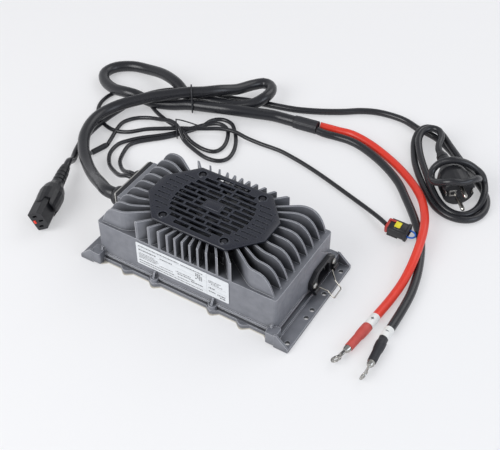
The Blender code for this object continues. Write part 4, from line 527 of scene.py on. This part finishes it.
def round_edges(thing: bpy.types.Object, edge: float) -> None:
    """Round the active object's edges.

    Args:
        thing: The object.
        edge: Radius in millimetres.
    """
    bevel = thing.modifiers.new("edges", "BEVEL")
    bevel.width = edge * MM
    bevel.segments = 3
    bpy.ops.object.modifier_apply(modifier=bevel.name)


def boxes(name: str, spans: list[tuple[float, ...]]) -> bpy.types.Object:
    """Make many plain boxes as one mesh.

    Args:
        name: Name of the mesh.
        spans: Low and high corner of each box in millimetres.

    Returns:
        The object.
    """
    spots, faces = [], []
    for x0, y0, z0, x1, y1, z1 in spans:
        base = len(spots)
        spots += [(x * MM, y * MM, z * MM) for z in (z0, z1) for x, y in ((x0, y0), (x1, y0), (x1, y1), (x0, y1))]
        faces += [tuple(base + corner for corner in face) for face in
                  ((3, 2, 1, 0), (4, 5, 6, 7), (0, 1, 5, 4), (1, 2, 6, 5), (2, 3, 7, 6), (3, 0, 4, 7))]
    return mesh_object(name, spots, [], faces)


def choose(thing: bpy.types.Object) -> None:
    """Select one object alone and make it active.

    Args:
        thing: The object.
    """
    bpy.ops.object.select_all(action="DESELECT")
    thing.select_set(True)
    bpy.context.view_layer.objects.active = thing


def aim(start: Vector, stop: Vector, roll: float = 0.0) -> Matrix:
    """Return the frame at start whose Z axis points to stop.

    Args:
        start: Origin in metres.
        stop: Where its Z axis points.
        roll: Turn about that axis in radians.

    Returns:
        The frame.
    """
    turn = (stop - start).to_track_quat("Z", "Y").to_matrix().to_4x4()
    return Matrix.Translation(start) @ turn @ Matrix.Rotation(roll, 4, "Z")


def metres(point: tuple[float, ...]) -> Vector:
    """Turn a place in millimetres into metres.

    Args:
        point: The place in millimetres.

    Returns:
        The place in metres.
    """
    return Vector(point) * MM


def smooth_route(points: tuple[tuple[float, float, float], ...], spacing: float) -> list[Vector]:
    """Read evenly spaced places from a smooth curve through route points.

    Args:
        points: Route points in millimetres.
        spacing: Distance between places in metres.

    Returns:
        The places in metres.
    """
    stops = [metres(point) for point in points]
    ends = [2 * stops[0] - stops[1]] + stops + [2 * stops[-1] - stops[-2]]
    fine: list[Vector] = []
    for index in range(1, len(ends) - 2):
        before, start, stop, after = ends[index - 1:index + 3]
        for step in range(16):
            t = step / 16
            fine.append(0.5 * (2 * start + (stop - before) * t
                               + (2 * before - 5 * start + 4 * stop - after) * t ** 2
                               + (3 * start - before - 3 * stop + after) * t ** 3))
    fine.append(stops[-1])
    travelled = [0.0]
    for first, second in zip(fine, fine[1:]):
        travelled.append(travelled[-1] + (second - first).length)
    count = max(2, round(travelled[-1] / spacing))
    places: list[Vector] = []
    cursor = 0
    for number in range(count + 1):
        wanted = travelled[-1] * number / count
        while cursor < len(fine) - 2 and travelled[cursor + 1] < wanted:
            cursor += 1
        share = (wanted - travelled[cursor]) / (travelled[cursor + 1] - travelled[cursor])
        places.append(fine[cursor].lerp(fine[cursor + 1], share))
    return places


def hank_frame() -> tuple[Vector, Vector, Vector]:
    """Return the mains cord's hank as a frame.

    Returns:
        Its far end in millimetres, its way along and its way across.
    """
    first, second = (Vector((*end, 0.0)) for end in HANK_ENDS)
    along = (second - first).normalized()
    return first, along, Vector((-along.y, along.x, 0.0))


class Cords(Maker):
    """All leads, laid where their solids lie."""

    def tube(self, places: list[Vector], radius: float, cyclic: bool = False) -> bpy.types.Object:
        """Make a round tube along places.

        Args:
            places: Centre line in metres.
            radius: Radius in millimetres.
            cyclic: Whether it closes on itself.

        Returns:
            The tube as a mesh.
        """
        curve = bpy.data.curves.new("tube", "CURVE")
        curve.dimensions = "3D"
        curve.bevel_depth = radius * MM
        curve.bevel_resolution = 6
        curve.use_fill_caps = True
        spline = curve.splines.new("POLY")
        spline.points.add(len(places) - 1)
        for point, place in zip(spline.points, places):
            point.co = (*place, 1.0)
        spline.use_cyclic_u = cyclic
        spline.use_smooth = True
        thing = bpy.data.objects.new("tube", curve)
        bpy.context.scene.collection.objects.link(thing)
        choose(thing)
        bpy.ops.object.convert(target="MESH")
        thing = bpy.context.active_object
        face_outwards(TUBE_MERGE)
        bpy.ops.object.shade_smooth_by_angle(angle=TUBE_ANGLE)
        return thing

    def cord(self, name: str, route: tuple, radius: float, finish: str, nodes: tuple[str, ...], pieces: tuple,
             far_end: str, stiffness: str = "medium") -> bpy.types.Object:
        """Args:
            name: The piece's name.
            route: Route points in millimetres.
            radius: Radius in millimetres.
            finish: A key of FINISHES.
            nodes: CAD nodes that it stands for.
            pieces: Pieces on the cord, not used.
            far_end: What its far end is, not used.
            stiffness: How stiff it is, not used.

        Returns:
            The cord.
        """
        places = smooth_route(route, 0.8 * radius * MM)
        thing = self.keep(self.tube(places, radius), name, finish, finish, *nodes)
        return thing

    def build(self) -> None:
        """Lay every lead."""
        nodes = frame["nodes"]
        red_end = self.lead_end("positive", POSITIVE_BOOT, (169.4, -51.9, 5.9), "dull_red", math.radians(35.0))
        black_end = self.lead_end("negative", NEGATIVE_BOOT, (200.3, -56.0, 6.4), "black_rubber", math.radians(60.0))
        self.cord("battery_cable", OUTPUT_ROUTE, OUTPUT_RADIUS, "cable_black", ("output_cable",),
                  (nodes["splitter_sleeve"], nodes["output_tie"]), "fitting", "stiff")
        self.cord("red_battery_lead", POSITIVE_ROUTE, LEAD_RADIUS, "cable_red", ("positive_lead",),
                  red_end, "fitting")
        self.cord("black_battery_lead", NEGATIVE_ROUTE, LEAD_RADIUS, "cable_black", ("negative_lead",),
                  black_end, "fitting")
        self.cord("signal_cord", SIGNAL_ROUTE, SIGNAL_RADIUS, "cable_black",
                  ("signal_cable", "signal_hank", "signal_lead"), Markers(self.body).connector(), "connector", "limp")
        self.cord("lamp_cord", LAMP_ROUTE, SIGNAL_RADIUS, "cable_black", ("lamp_cable", "lamp_lead"),
                  (nodes["lamp_sleeve"], nodes["lamp_lens"]), "fitting", "limp")
        self.cord("mains_cable", MAINS_ROUTE + self.hank_route(), MAINS_RADIUS, "cable_black",
                  ("mains_cord", "mains_hank"),
                  tuple(nodes[name] for name in ("mains_connector", "mains_plug", "plug_pin_1", "plug_pin_2")), "plug")
        self.ties()

    def lead_end(self, side: str, boot: tuple, eye: tuple, finish: str, turn: float) -> tuple[bpy.types.Object, ...]:
        """Make a lead's shrunk sleeve and its ring lug.

        Args:
            side: Which lead, as in the nodes' names.
            boot: Places along the sleeve in millimetres.
            eye: Middle of the ring in millimetres.
            finish: The sleeve's finish.
            turn: How far the ring is turned about the lead in radians.

        Returns:
            The sleeve and the lug.
        """
        rear, front = metres(boot[0]), metres(boot[-1])
        length = (front - rear).length / MM
        profile = [(0, length), (4.3, length), (4.4, length * 0.97), (4.5, length * 0.60), (5.1, length * 0.52),
                   (5.35, length * 0.34), (5.25, 8.2), (4.65, 7.2), (4.65, 0.0), (0, 0)]
        sleeve = self.keep(self.lathe(profile, aim(rear, front)), f"{side}_shrink", finish, finish, f"{side}_boot")
        matrix = aim(front, metres(eye), turn)
        reach = (metres(eye) - front).length / MM
        lug = self.lathe([(0, 5.5), (2.6, 5.5), (3.6, 3.4), (3.9, 0.2), (0, 0.2)], Matrix.Identity(4))
        flat = Matrix.Rotation(math.pi / 2, 4, "X")
        cut(lug, self.block((5.0, reach - 5.0, 1.5), Matrix.Translation((0, 0, reach * 0.5 * MM)) @ flat, 0.3), "UNION")
        cut(lug, self.lathe([(0, 0.8), (5.2, 0.8), (5.4, 0.6), (5.4, -0.6), (5.2, -0.8), (0, -0.8)],
                            Matrix.Translation((0, 0, reach * MM)) @ flat), "UNION")
        cut(lug, self.lathe(drum(2.9, 2, -2), Matrix.Translation((0, 0, reach * MM)) @ flat))
        self.settle(lug, matrix)
        return sleeve, self.keep(lug, f"{side}_ring_lug", "tinned_metal", "tinned_metal", f"{side}_lug")

    @staticmethod
    def hank_route() -> tuple[tuple[float, float, float], ...]:
        """Return the wound part of the mains cord, from the hank's edge to the plug.

        Returns:
            Route points in millimetres.
        """
        first, along, across = hank_frame()
        places = []
        for u, v, z in HANK_ROUTE:
            spot = first + along * u + across * v
            places.append((spot.x, spot.y, z))
        return tuple(places)

    def ties(self) -> None:
        """Wind the wire tie round the thin leads and lay its tail."""
        middle = Vector((-160.0, 160.5, 0.0)) * MM
        across = Vector((-0.60, 0.80, 0.0)).normalized()
        ring = [middle + across * (side * MM) + Vector((0, 0, height * MM)) for side, height in (
            (-11, 1.2), (-12.6, 4), (-12.4, 9), (-9, 14.5), (-2, 17.6), (4, 17.2), (9, 13.5), (12, 8), (12, 3.5),
            (10, 1.2))]
        self.keep(self.tube(ring, 0.7, True), "thin_lead_tie", "black_rubber", "black_rubber")
        tail = smooth_route(((-163, 164, 18.2), (-156, 165.5, 18.6), (-146, 168, 17.5), (-134, 171, 15.5),
                             (-121, 175, 14)), 0.8 * MM)
        self.keep(self.tube(tail, 0.8), "tie_tail", "black_rubber", "black_rubber")


class Hardware(Maker):
    """Small fasteners and trim on the case."""

    def screw(self, name: str, matrix: Matrix, radius: float, height: float) -> None:
        """Make one pan head with a cross recess.

        Args:
            name: Name of the piece.
            matrix: Frame at the head's seat, with Z pointing outwards.
            radius: Head radius in millimetres.
            height: Head height in millimetres.
        """
        head = self.lathe([(0, height), (radius * 0.55, height * 0.97), (radius * 0.85, height * 0.78),
                           (radius, height * 0.35), (radius, 0), (0, 0)], Matrix.Identity(4))
        for turn in (0.0, math.pi / 2):
            place = Matrix.Translation((0, 0, height * MM)) @ Matrix.Rotation(turn, 4, "Z")
            cut(head, self.block((radius * 1.1, radius * 0.28, height), place, 0.05))
        self.settle(head, matrix)
        self.keep(head, name, "tinned_metal", "tinned_metal")

    def build(self) -> None:
        """Make the screws of the gland plate and of the base cover."""
        for number, y in enumerate((-18.7, 31.5)):
            seat = metres((-107.1, y, 26.0))
            self.screw(f"plate_screw_{number}", aim(seat, seat + Vector((-1, 0, 0))), 2.8, 1.8)
        places = [(side * x, y) for x, reach in ((35.2, 58.6), (102, 60.5))
                  for side in (-1, 1) for y in (-reach, reach)]
        for number, (x, y) in enumerate(places):
            seat = metres((x, y, 1.45))
            self.screw(f"cover_screw_{number}", aim(seat, seat - Vector((0, 0, 1))), 2.7, 1.2)


class Markers(Maker):
    """Pieces on the leads and connectors."""

    # Sizes of a plus sign's two bars; a minus sign has the second alone
    SIGN_BARS = ((3.4, 0.8, 0.3), (0.8, 3.4, 0.3))

    def build(self) -> None:
        """Make the marker sleeves, the plug's contacts and the lock insert."""
        self.marker("positive_marker", (178.35, 15.6, 5.2), (177.3, 0.6, 5.35), True)
        self.marker("negative_marker", (197.0, 7.8, 5.2), (196.75, -5.6, 5.35), False)
        self.plug_contacts()
        self.connector_insert()

    def connector(self) -> tuple[bpy.types.Object, ...]:
        """Make the small three-way connector: seal, housing with its yellow lock, mouth and jumper wire.

        Returns:
            Its pieces.
        """
        rear = metres((131.5, 138.3, 8.4))
        matrix = aim(rear, rear + metres((31.0, 0.5, -1.0)), math.radians(8.0))
        self.keep(self.block((15.4, 9.4, 4.6), matrix, 1.9, (0, 0, 2.4)), "connector_seal", "seal_bright",
                  "cable_red")
        self.keep(self.block((2.6, 1.4, 9.0), matrix, 0.5, (4.4, 5.4, 6.8)), "seal_strap", "seal_bright",
                  "cable_red")
        housing = self.block((16.0, 10.4, 19.5), matrix, 0.9, (0, 0, 13.4))
        for size, place, edge, way in (((17.4, 11.6, 3.6), (0, 0, 24.4), 0.7, "UNION"),
                                       ((9.0, 2.0, 12.0), (0, 5.6, 17.0), 0.5, "UNION"),
                                       ((4.0, 2.2, 12.5), (-6.2, -5.4, 10.0), 0.5, "UNION"),
                                       ((13.4, 7.6, 9.0), (0, 0, 25.6), 0.5, "DIFFERENCE")):
            cut(housing, self.block(size, matrix, edge, place), way)
        self.keep(housing, "connector_body", "black_plastic", "black_plastic", "connector_housing")
        self.keep(self.block((7.6, 3.4, 6.6), matrix, 0.7, (0, 6.2, 13.2)), "connector_clip", "yellow_plastic",
                  "yellow_plastic", "connector_lock")
        self.keep(self.block((12.4, 6.6, 3.0), matrix, 0.5, (0, 0, 22.6)), "connector_cap", "clear_seal",
                  "white_label")
        loop = smooth_route(tuple((side * 4.4, -0.6, depth) for side, depth in (
            (-1, 22), (-1.05, 26.5), (-1, 29.5), (-0.65, 32.4), (0, 33.6), (0.65, 32.4), (1, 29.5), (1.05, 26.5),
            (1, 22))), 0.8 * MM)
        wire = Cords(self.body).tube([matrix @ place for place in loop], 1.0)
        self.keep(wire, "jumper_wire", "blue_wire", "cable_black")
        return tuple(self.pieces.values())

    def marker(self, name: str, start: tuple, stop: tuple, plus: bool) -> None:
        """Make a white marker sleeve with a plus or minus sign.

        Args:
            name: Name of the piece.
            start: One end in millimetres.
            stop: The other end in millimetres.
            plus: Whether the sign is a plus.
        """
        low, high = metres(start), metres(stop)
        length = (high - low).length / MM
        sleeve = self.lathe([(LEAD_RADIUS, length), (5.0, length), (5.12, length - 0.4), (5.12, 0.4), (5.0, 0),
                             (LEAD_RADIUS, 0)], aim(low, high))
        self.keep(sleeve, name, "marker_white", "white_label")
        top = (low + high) / 2 + Vector((0, 0, 5.25 * MM))
        way = (high - low).normalized()
        turn = Matrix.Rotation(math.atan2(way.y, way.x), 4, "Z")
        for number, size in enumerate(self.SIGN_BARS if plus else self.SIGN_BARS[1:]):
            bar = self.block(size, Matrix.Translation(top) @ turn, 0.05)
            self.keep(bar, f"{name}_sign_{number}", "label_print", "black_plastic")

    def plug_contacts(self) -> None:
        """Make the plug's earth contacts: a plate with its socket and a spring clip."""
        first, along, across = hank_frame()
        rear = first + along * PLUG_ALONG - across * (HANK_INNER - PLUG_RADIUS - PLUG_ROOM)
        rear = (rear + Vector((0, 0, PLUG_RADIUS + PLUG_ROOM))) * MM
        matrix = aim(rear, rear + along, math.pi / 2)
        for number, side in enumerate((1, -1)):
            strip = self.block((6.2, 1.6, 12.0), matrix, 0.3, (0, side * 15.0, PLUG_LENGTH - 5.4))
            self.keep(strip, f"earth_clip_{number}", "tinned_metal", "tinned_metal")
        plate = self.block((8.4, 8.4, 0.8), matrix, 0.3, (0, 7.4, PLUG_LENGTH + 0.2))
        self.keep(plate, "earth_plate", "tinned_metal", "tinned_metal")
        # The socket is a dark disc on the plate: the hole's black plastic darkened by painted shade
        socket_shade = self.lathe(drum(2.3, 0.5, 0),
                          matrix @ Matrix.Translation(metres((0, 7.4, PLUG_LENGTH + 0.25))))
        self.keep(socket_shade, "earth_socket_shade", "socket_dark", "black_plastic")

    def connector_insert(self) -> None:
        """Make the red lock insert in the mains connector's nose."""
        rear = metres(CONNECTOR_REAR)
        matrix = aim(rear, rear + Vector((0.37, -0.93, 0.0)), math.radians(24.0))
        insert = self.block((2.8, 4.0, 8.0), matrix, 0.4, (-5.2, 0, 88.6))
        self.keep(insert, "lock_insert", "cable_red", "cable_red")


class Grille(Maker):
    """The fan grille with its rows of open slots and blind grooves."""

    BOTTOM, TOP = 76.3, 79.5
    HALF_LENGTH, HALF_WIDTH, SHORT_SIDE, LONG_SIDE = 69.0, 45.3, 14.5, 42.5
    SCREWS = tuple((x, y) for x in (-35.75, 35.75) for y in (-35.75, 35.75))
    # Height across the case of each row and where its bridges stand
    ROWS = ((38.1, (0.0,)), (31.2, (-13.0, 6.5)), (24.3, (-5.5, 7.2)), (17.5, (-17.8, 0.5, 18.8)),
            (10.7, (-26.5, 0.0, 26.5)), (3.8, (-19.4, 20.6)), (-3.0, (-20.6, 20.2)), (-9.9, (-27.4, 0.0, 26.7)),
            (-16.7, (-18.8, 0.0, 17.8)), (-23.6, (-6.5, 6.5)), (-30.4, (-18.0, 12.6)), (-37.3, (-3.0,)))
    OPENING, OPEN_HALF, GROOVE_HALF, BRIDGE = 43.0, 2.45, 1.1, 1.9
    # Half width of the plain field in the middle, and how far each groove stands beside its row
    PLATE_HALF, GROOVE_SHIFT = 10.5, 1.2
    # Rows this far from the middle have no groove, or have it start beside the screws
    LAST_ROW, SCREW_ROW = 32, 26
    # A groove's distance from the opening, the screws and the rim, its least length and its depth
    FROM_OPENING, FROM_SCREW, FROM_RIM, SHORTEST, GROOVE_DEPTH = 3.0, 7.5, 8.0, 4, 1.3
    # Radius and top of the recess that holds the rotor
    RECESS_RADIUS, RECESS_TOP, BELOW = 44.2, 77.6, 70.0

    def corners(self, inset: float = 0.0) -> list[tuple[float, float]]:
        """Return the octagon's corners.

        Args:
            inset: How far it is shrunk in millimetres.

        Returns:
            Eight corners in millimetres.
        """
        long, wide = self.HALF_LENGTH - inset, self.HALF_WIDTH - inset
        side, end = self.LONG_SIDE - inset * 0.6, self.SHORT_SIDE - inset * 0.4
        return [(side, wide), (-side, wide), (-long, end), (-long, -end), (-side, -wide), (side, -wide), (long, -end),
                (long, end)]

    def plate(self, low: float, high: float, inset: float, edge: float) -> bpy.types.Object:
        """Make an octagonal plate.

        Args:
            low: Its underside's height in millimetres.
            high: Its top's height in millimetres.
            inset: How far it is smaller than the grille.
            edge: Radius of its edges.

        Returns:
            The plate.
        """
        outline = self.corners(inset)
        count = len(outline)
        spots = [(x * MM, y * MM, z * MM) for z in (low, high) for x, y in outline]
        faces = [tuple(reversed(range(count))), tuple(range(count, 2 * count))]
        faces += [(index, (index + 1) % count, (index + 1) % count + count, index + count) for index in range(count)]
        thing = mesh_object("octagon", spots, [], faces)
        choose(thing)
        face_outwards()
        round_edges(thing, edge)
        return thing

    def spans(self) -> tuple[list[tuple[float, ...]], list[tuple[float, ...]]]:
        """Return what cuts the grille.

        Returns:
            Boxes of the open slots, and boxes of the blind grooves.
        """
        slots, grooves = [], []
        for y, bridges in self.ROWS:
            opening = math.sqrt(self.OPENING ** 2 - y * y)
            stops = [-opening - self.BRIDGE / 2, *bridges, opening + self.BRIDGE / 2]
            for left, right in zip(stops, stops[1:]):
                pieces = [(left + self.BRIDGE / 2, right - self.BRIDGE / 2)]
                if abs(y) < 6.0 and left < -self.PLATE_HALF and right > self.PLATE_HALF:
                    pieces = [(left + self.BRIDGE / 2, -self.PLATE_HALF), (self.PLATE_HALF, right - self.BRIDGE / 2)]
                slots += [(start, y - self.OPEN_HALF, self.BOTTOM - 2, stop, y + self.OPEN_HALF, self.TOP + 2)
                          for start, stop in pieces]
            if abs(y) > self.LAST_ROW:
                continue
            middle = y + self.GROOVE_SHIFT
            reach = self.LONG_SIDE + (self.HALF_LENGTH - self.LONG_SIDE) * min(
                1.0, (self.HALF_WIDTH - abs(middle)) / (self.HALF_WIDTH - self.SHORT_SIDE)) - self.FROM_RIM
            start = opening + self.FROM_OPENING if abs(y) < self.SCREW_ROW else self.SCREWS[-1][0] + self.FROM_SCREW
            for side in (-1, 1):
                low, high = sorted((side * start, side * reach))
                if high - low > self.SHORTEST:
                    grooves.append((low, middle - self.GROOVE_HALF, self.TOP - self.GROOVE_DEPTH,
                                    high, middle + self.GROOVE_HALF, self.TOP + 2))
        return slots, grooves

    def build(self) -> None:
        """Make the grille in place of its plain solid."""
        grille = self.plate(self.BOTTOM, self.TOP, 0.0, 1.1)
        slots, grooves = self.spans()
        cut(grille, boxes("slots", slots))
        cut(grille, boxes("grooves", grooves))
        cut(grille, self.lathe(drum(self.RECESS_RADIUS, self.RECESS_TOP, self.BELOW), Matrix.Identity(4), 64))
        for x, y in self.SCREWS:
            spot = Matrix.Translation(metres((x, y, 0)))
            cut(grille, self.lathe([(0, 79.9), (5.2, 79.9), (5.9, 79.2), (5.9, self.BOTTOM + 0.2),
                                    (0, self.BOTTOM + 0.2)], spot), "UNION")
            cut(grille, self.lathe(drum(4.4, 82.0, 77.3), spot))
            cut(grille, self.lathe(drum(2.0, 79.0, self.BELOW), spot, 20))
        cut(grille, self.block((17.0, 10.0, 2.2), Matrix.Translation(metres((0, 0.4, 79.0))), 0.5), "UNION")
        choose(grille)
        bpy.ops.object.shade_smooth_by_angle(angle=GRILLE_ANGLE)
        self.keep(grille, "slotted_grille", "grille_plastic", "black_plastic", "fan_grille")


class Label(Maker):
    """The rating label, with plain fields in place of what is printed on it."""

    # Rows of plain dashes: start, end and depth down the label, dash height
    ROWS = ((3, 52, 3.4, 1.3), (54, 80, 3.8, 1.3), (3, 24, 8.2, 1.7), (29, 44, 9.0, 1.4), (3, 22, 13.2, 0.9),
            (3, 26, 15.2, 0.9), (3, 27, 17.2, 0.9), (3, 24, 19.2, 0.9), (28, 44, 19.8, 0.9), (3, 46, 23.0, 1.1),
            (3, 80, 26.4, 1.1), (48, 66, 16.0, 1.0), (50, 70, 18.4, 1.4), (66, 80, 20.8, 1.6), (50, 64, 22.8, 1.0),
            (87, 101, 8.0, 0.9), (87, 99, 10.0, 0.9), (90, 103, 12.0, 0.9), (87, 94, 17.4, 1.6), (87, 95, 22.4, 1.4),
            (97, 106, 22.8, 1.6), (100, 106, 25.6, 1.6))
    DASHES = (1.7, 0.8, 2.3, 1.2, 0.6, 1.9, 1.0)
    DASH_GAP, SQUARE = 0.55, 2.1
    LINES = ((2, 84.6, 5.9, 0.2), (2, 84.6, 11.2, 0.2), (86, 107.6, 14.6, 0.2), (86, 107.6, 19.8, 0.2),
             (2, 84.6, 24.6, 0.2))

    def build(self) -> None:
        """Lay rows of plain dashes, plain squares and frame lines on the label."""
        marks = []
        for number, (start, stop, depth, height) in enumerate(self.ROWS):
            place, turn = start, number
            while place < stop:
                width = self.DASHES[turn % len(self.DASHES)]
                marks.append(self.span(place, min(place + width, stop), depth, height))
                place += width + self.DASH_GAP
                turn += 1
        marks += [self.span(71.5 + column * self.SQUARE, 73.0 + column * self.SQUARE, 6.8 + row * self.SQUARE, 1.5)
                  for row in range(4) for column in range(4) if (row * 3 + column * 2) % 5 != 1]
        self.keep(boxes("marks", marks), "label_marks", "label_print", "white_label")
        lines = [self.span(*line) for line in (*self.LINES, (84.6, 84.9, 1.2, 27.2))]
        self.keep(boxes("lines", lines), "label_lines", "label_band", "white_label")

    @staticmethod
    def span(start: float, stop: float, depth: float, height: float) -> tuple[float, ...]:
        """Return the box of one mark.

        Args:
            start: Its left end from the label's left edge in millimetres.
            stop: Its right end from there.
            depth: Its upper side's distance from the label's top.
            height: Its height.

        Returns:
            Low and high corner in millimetres.
        """
        return (LABEL_LEFT + start, LABEL_FACE - 0.08, LABEL_TOP - depth - height,
                LABEL_LEFT + stop, LABEL_FACE + 0.04, LABEL_TOP - depth)


class Studio:
    """The camera, the floor and the soft lights."""

    AZIMUTH, ELEVATION = 31.44, 43.28
    PLACE = (387.6, -563.9, 697.5)
    LENS = 66.95

    def camera(self) -> None:
        """Place the camera at the photograph's angle."""
        bpy.ops.object.select_all(action="DESELECT")
        bpy.ops.object.camera_add(location=metres(self.PLACE))
        camera = bpy.context.active_object
        azimuth, elevation = math.radians(self.AZIMUTH), math.radians(self.ELEVATION)
        back = Vector((math.sin(azimuth) * math.cos(elevation), -math.cos(azimuth) * math.cos(elevation),
                       math.sin(elevation)))
        camera.rotation_mode = "QUATERNION"
        camera.rotation_quaternion = (-back).to_track_quat("-Z", "Y")
        camera.data.lens = self.LENS
        camera.data.sensor_width = 36.0
        camera.data.clip_start, camera.data.clip_end = 0.02, 20.0
        bpy.context.scene.camera = camera

    def floor(self) -> None:
        """Lay the pale floor."""
        bpy.ops.object.select_all(action="DESELECT")
        bpy.ops.mesh.primitive_plane_add(size=8.0, location=(0, 0, -0.0002))
        floor = bpy.context.active_object
        floor.name = "floor"
        material = bpy.data.materials.new("floor_paper")
        material.use_nodes = True
        set_inputs(material.node_tree.nodes["Principled BSDF"], {
            "Base Color": (0.47, 0.47, 0.475, 1.0), "Roughness": 0.75,
            "Emission Color": (0.985, 0.985, 1.0, 1.0), "Emission Strength": 0.40})
        floor.data.materials.append(material)

    def light(self, name: str, place: tuple, size: float, power: float, tint: tuple = (1.0, 1.0, 1.0)) -> None:
        """Hang one soft light that faces the object.

        Args:
            name: Name of the light.
            place: Its place in metres.
            size: Its side in metres.
            power: Its power in watts.
            tint: Its colour.
        """
        lamp = bpy.data.lights.new(name, "AREA")
        lamp.color = tint
        lamp.shape = "DISK"
        lamp.size = size
        lamp.energy = power
        holder = bpy.data.objects.new(name, lamp)
        holder.location = place
        holder.rotation_mode = "QUATERNION"
        holder.rotation_quaternion = (Vector((0, 0.08, 0)) - Vector(place)).to_track_quat("-Z", "Y")
        bpy.context.scene.collection.objects.link(holder)

    def world(self) -> None:
        """Fill the surroundings with pale light that changes with height."""
        world = bpy.data.worlds.new("surroundings")
        bpy.context.scene.world = world
        world.use_nodes = True
        tree = world.node_tree
        place, paths = add_node(tree, "TexCoord"), add_node(tree, "LightPath")
        split = add_node(tree, "SeparateXYZ", {0: place.outputs["Generated"]})
        shade = add_node(tree, "MapRange", {"Value": split.outputs["Z"], "To Min": 0.80, "To Max": 0.42})
        back = tree.nodes["Background"]
        set_inputs(back, {"Color": (0.93, 0.94, 0.97, 1.0), "Strength": shade.outputs["Result"]})
        seen = add_node(tree, "Background", {"Color": (0.93, 0.935, 0.95, 1.0), "Strength": 0.9})
        mixed = add_node(tree, "MixShader", {"Fac": paths.outputs["Is Camera Ray"], 1: back.outputs[0],
                                             2: seen.outputs[0]})
        set_inputs(tree.nodes["World Output"], {"Surface": mixed.outputs[0]})

    def build(self) -> None:
        """Set up everything round the object."""
        self.floor()
        self.light("key", (-0.80, -1.55, 1.25), 1.6, 31.0)
        self.light("fill", (1.6, -0.1, 0.9), 1.2, 8.0, (0.80, 0.88, 1.0))
        self.light("back", (0.5, 1.5, 1.5), 1.6, 9.0)
        self.world()
        bpy.context.scene.view_settings.view_transform = "Standard"


def dress_frame() -> None:
    """Give every carried-over CAD node its procedural material."""
    slots = {entry["node"]: entry["material_slot"] for entry in frame["record"]["subparts"]}
    for name, thing in frame["nodes"].items():
        finish = slots[name]
        thing.data.materials.clear()
        thing.data.materials.append(SHADERS.material(LOOKS.get(name, finish)))


def main() -> None:
    """Build the looks."""
    logging.basicConfig(level=logging.INFO)
    studio = Studio()
    studio.camera()
    Cords().build()
    dress_frame()
    Hardware().build()
    Markers().build()
    Grille().build()
    Label().build()
    studio.build()
    LOG.info("nodes dressed: %d", len(frame["nodes"]))


if __name__ == "__main__":
    main()
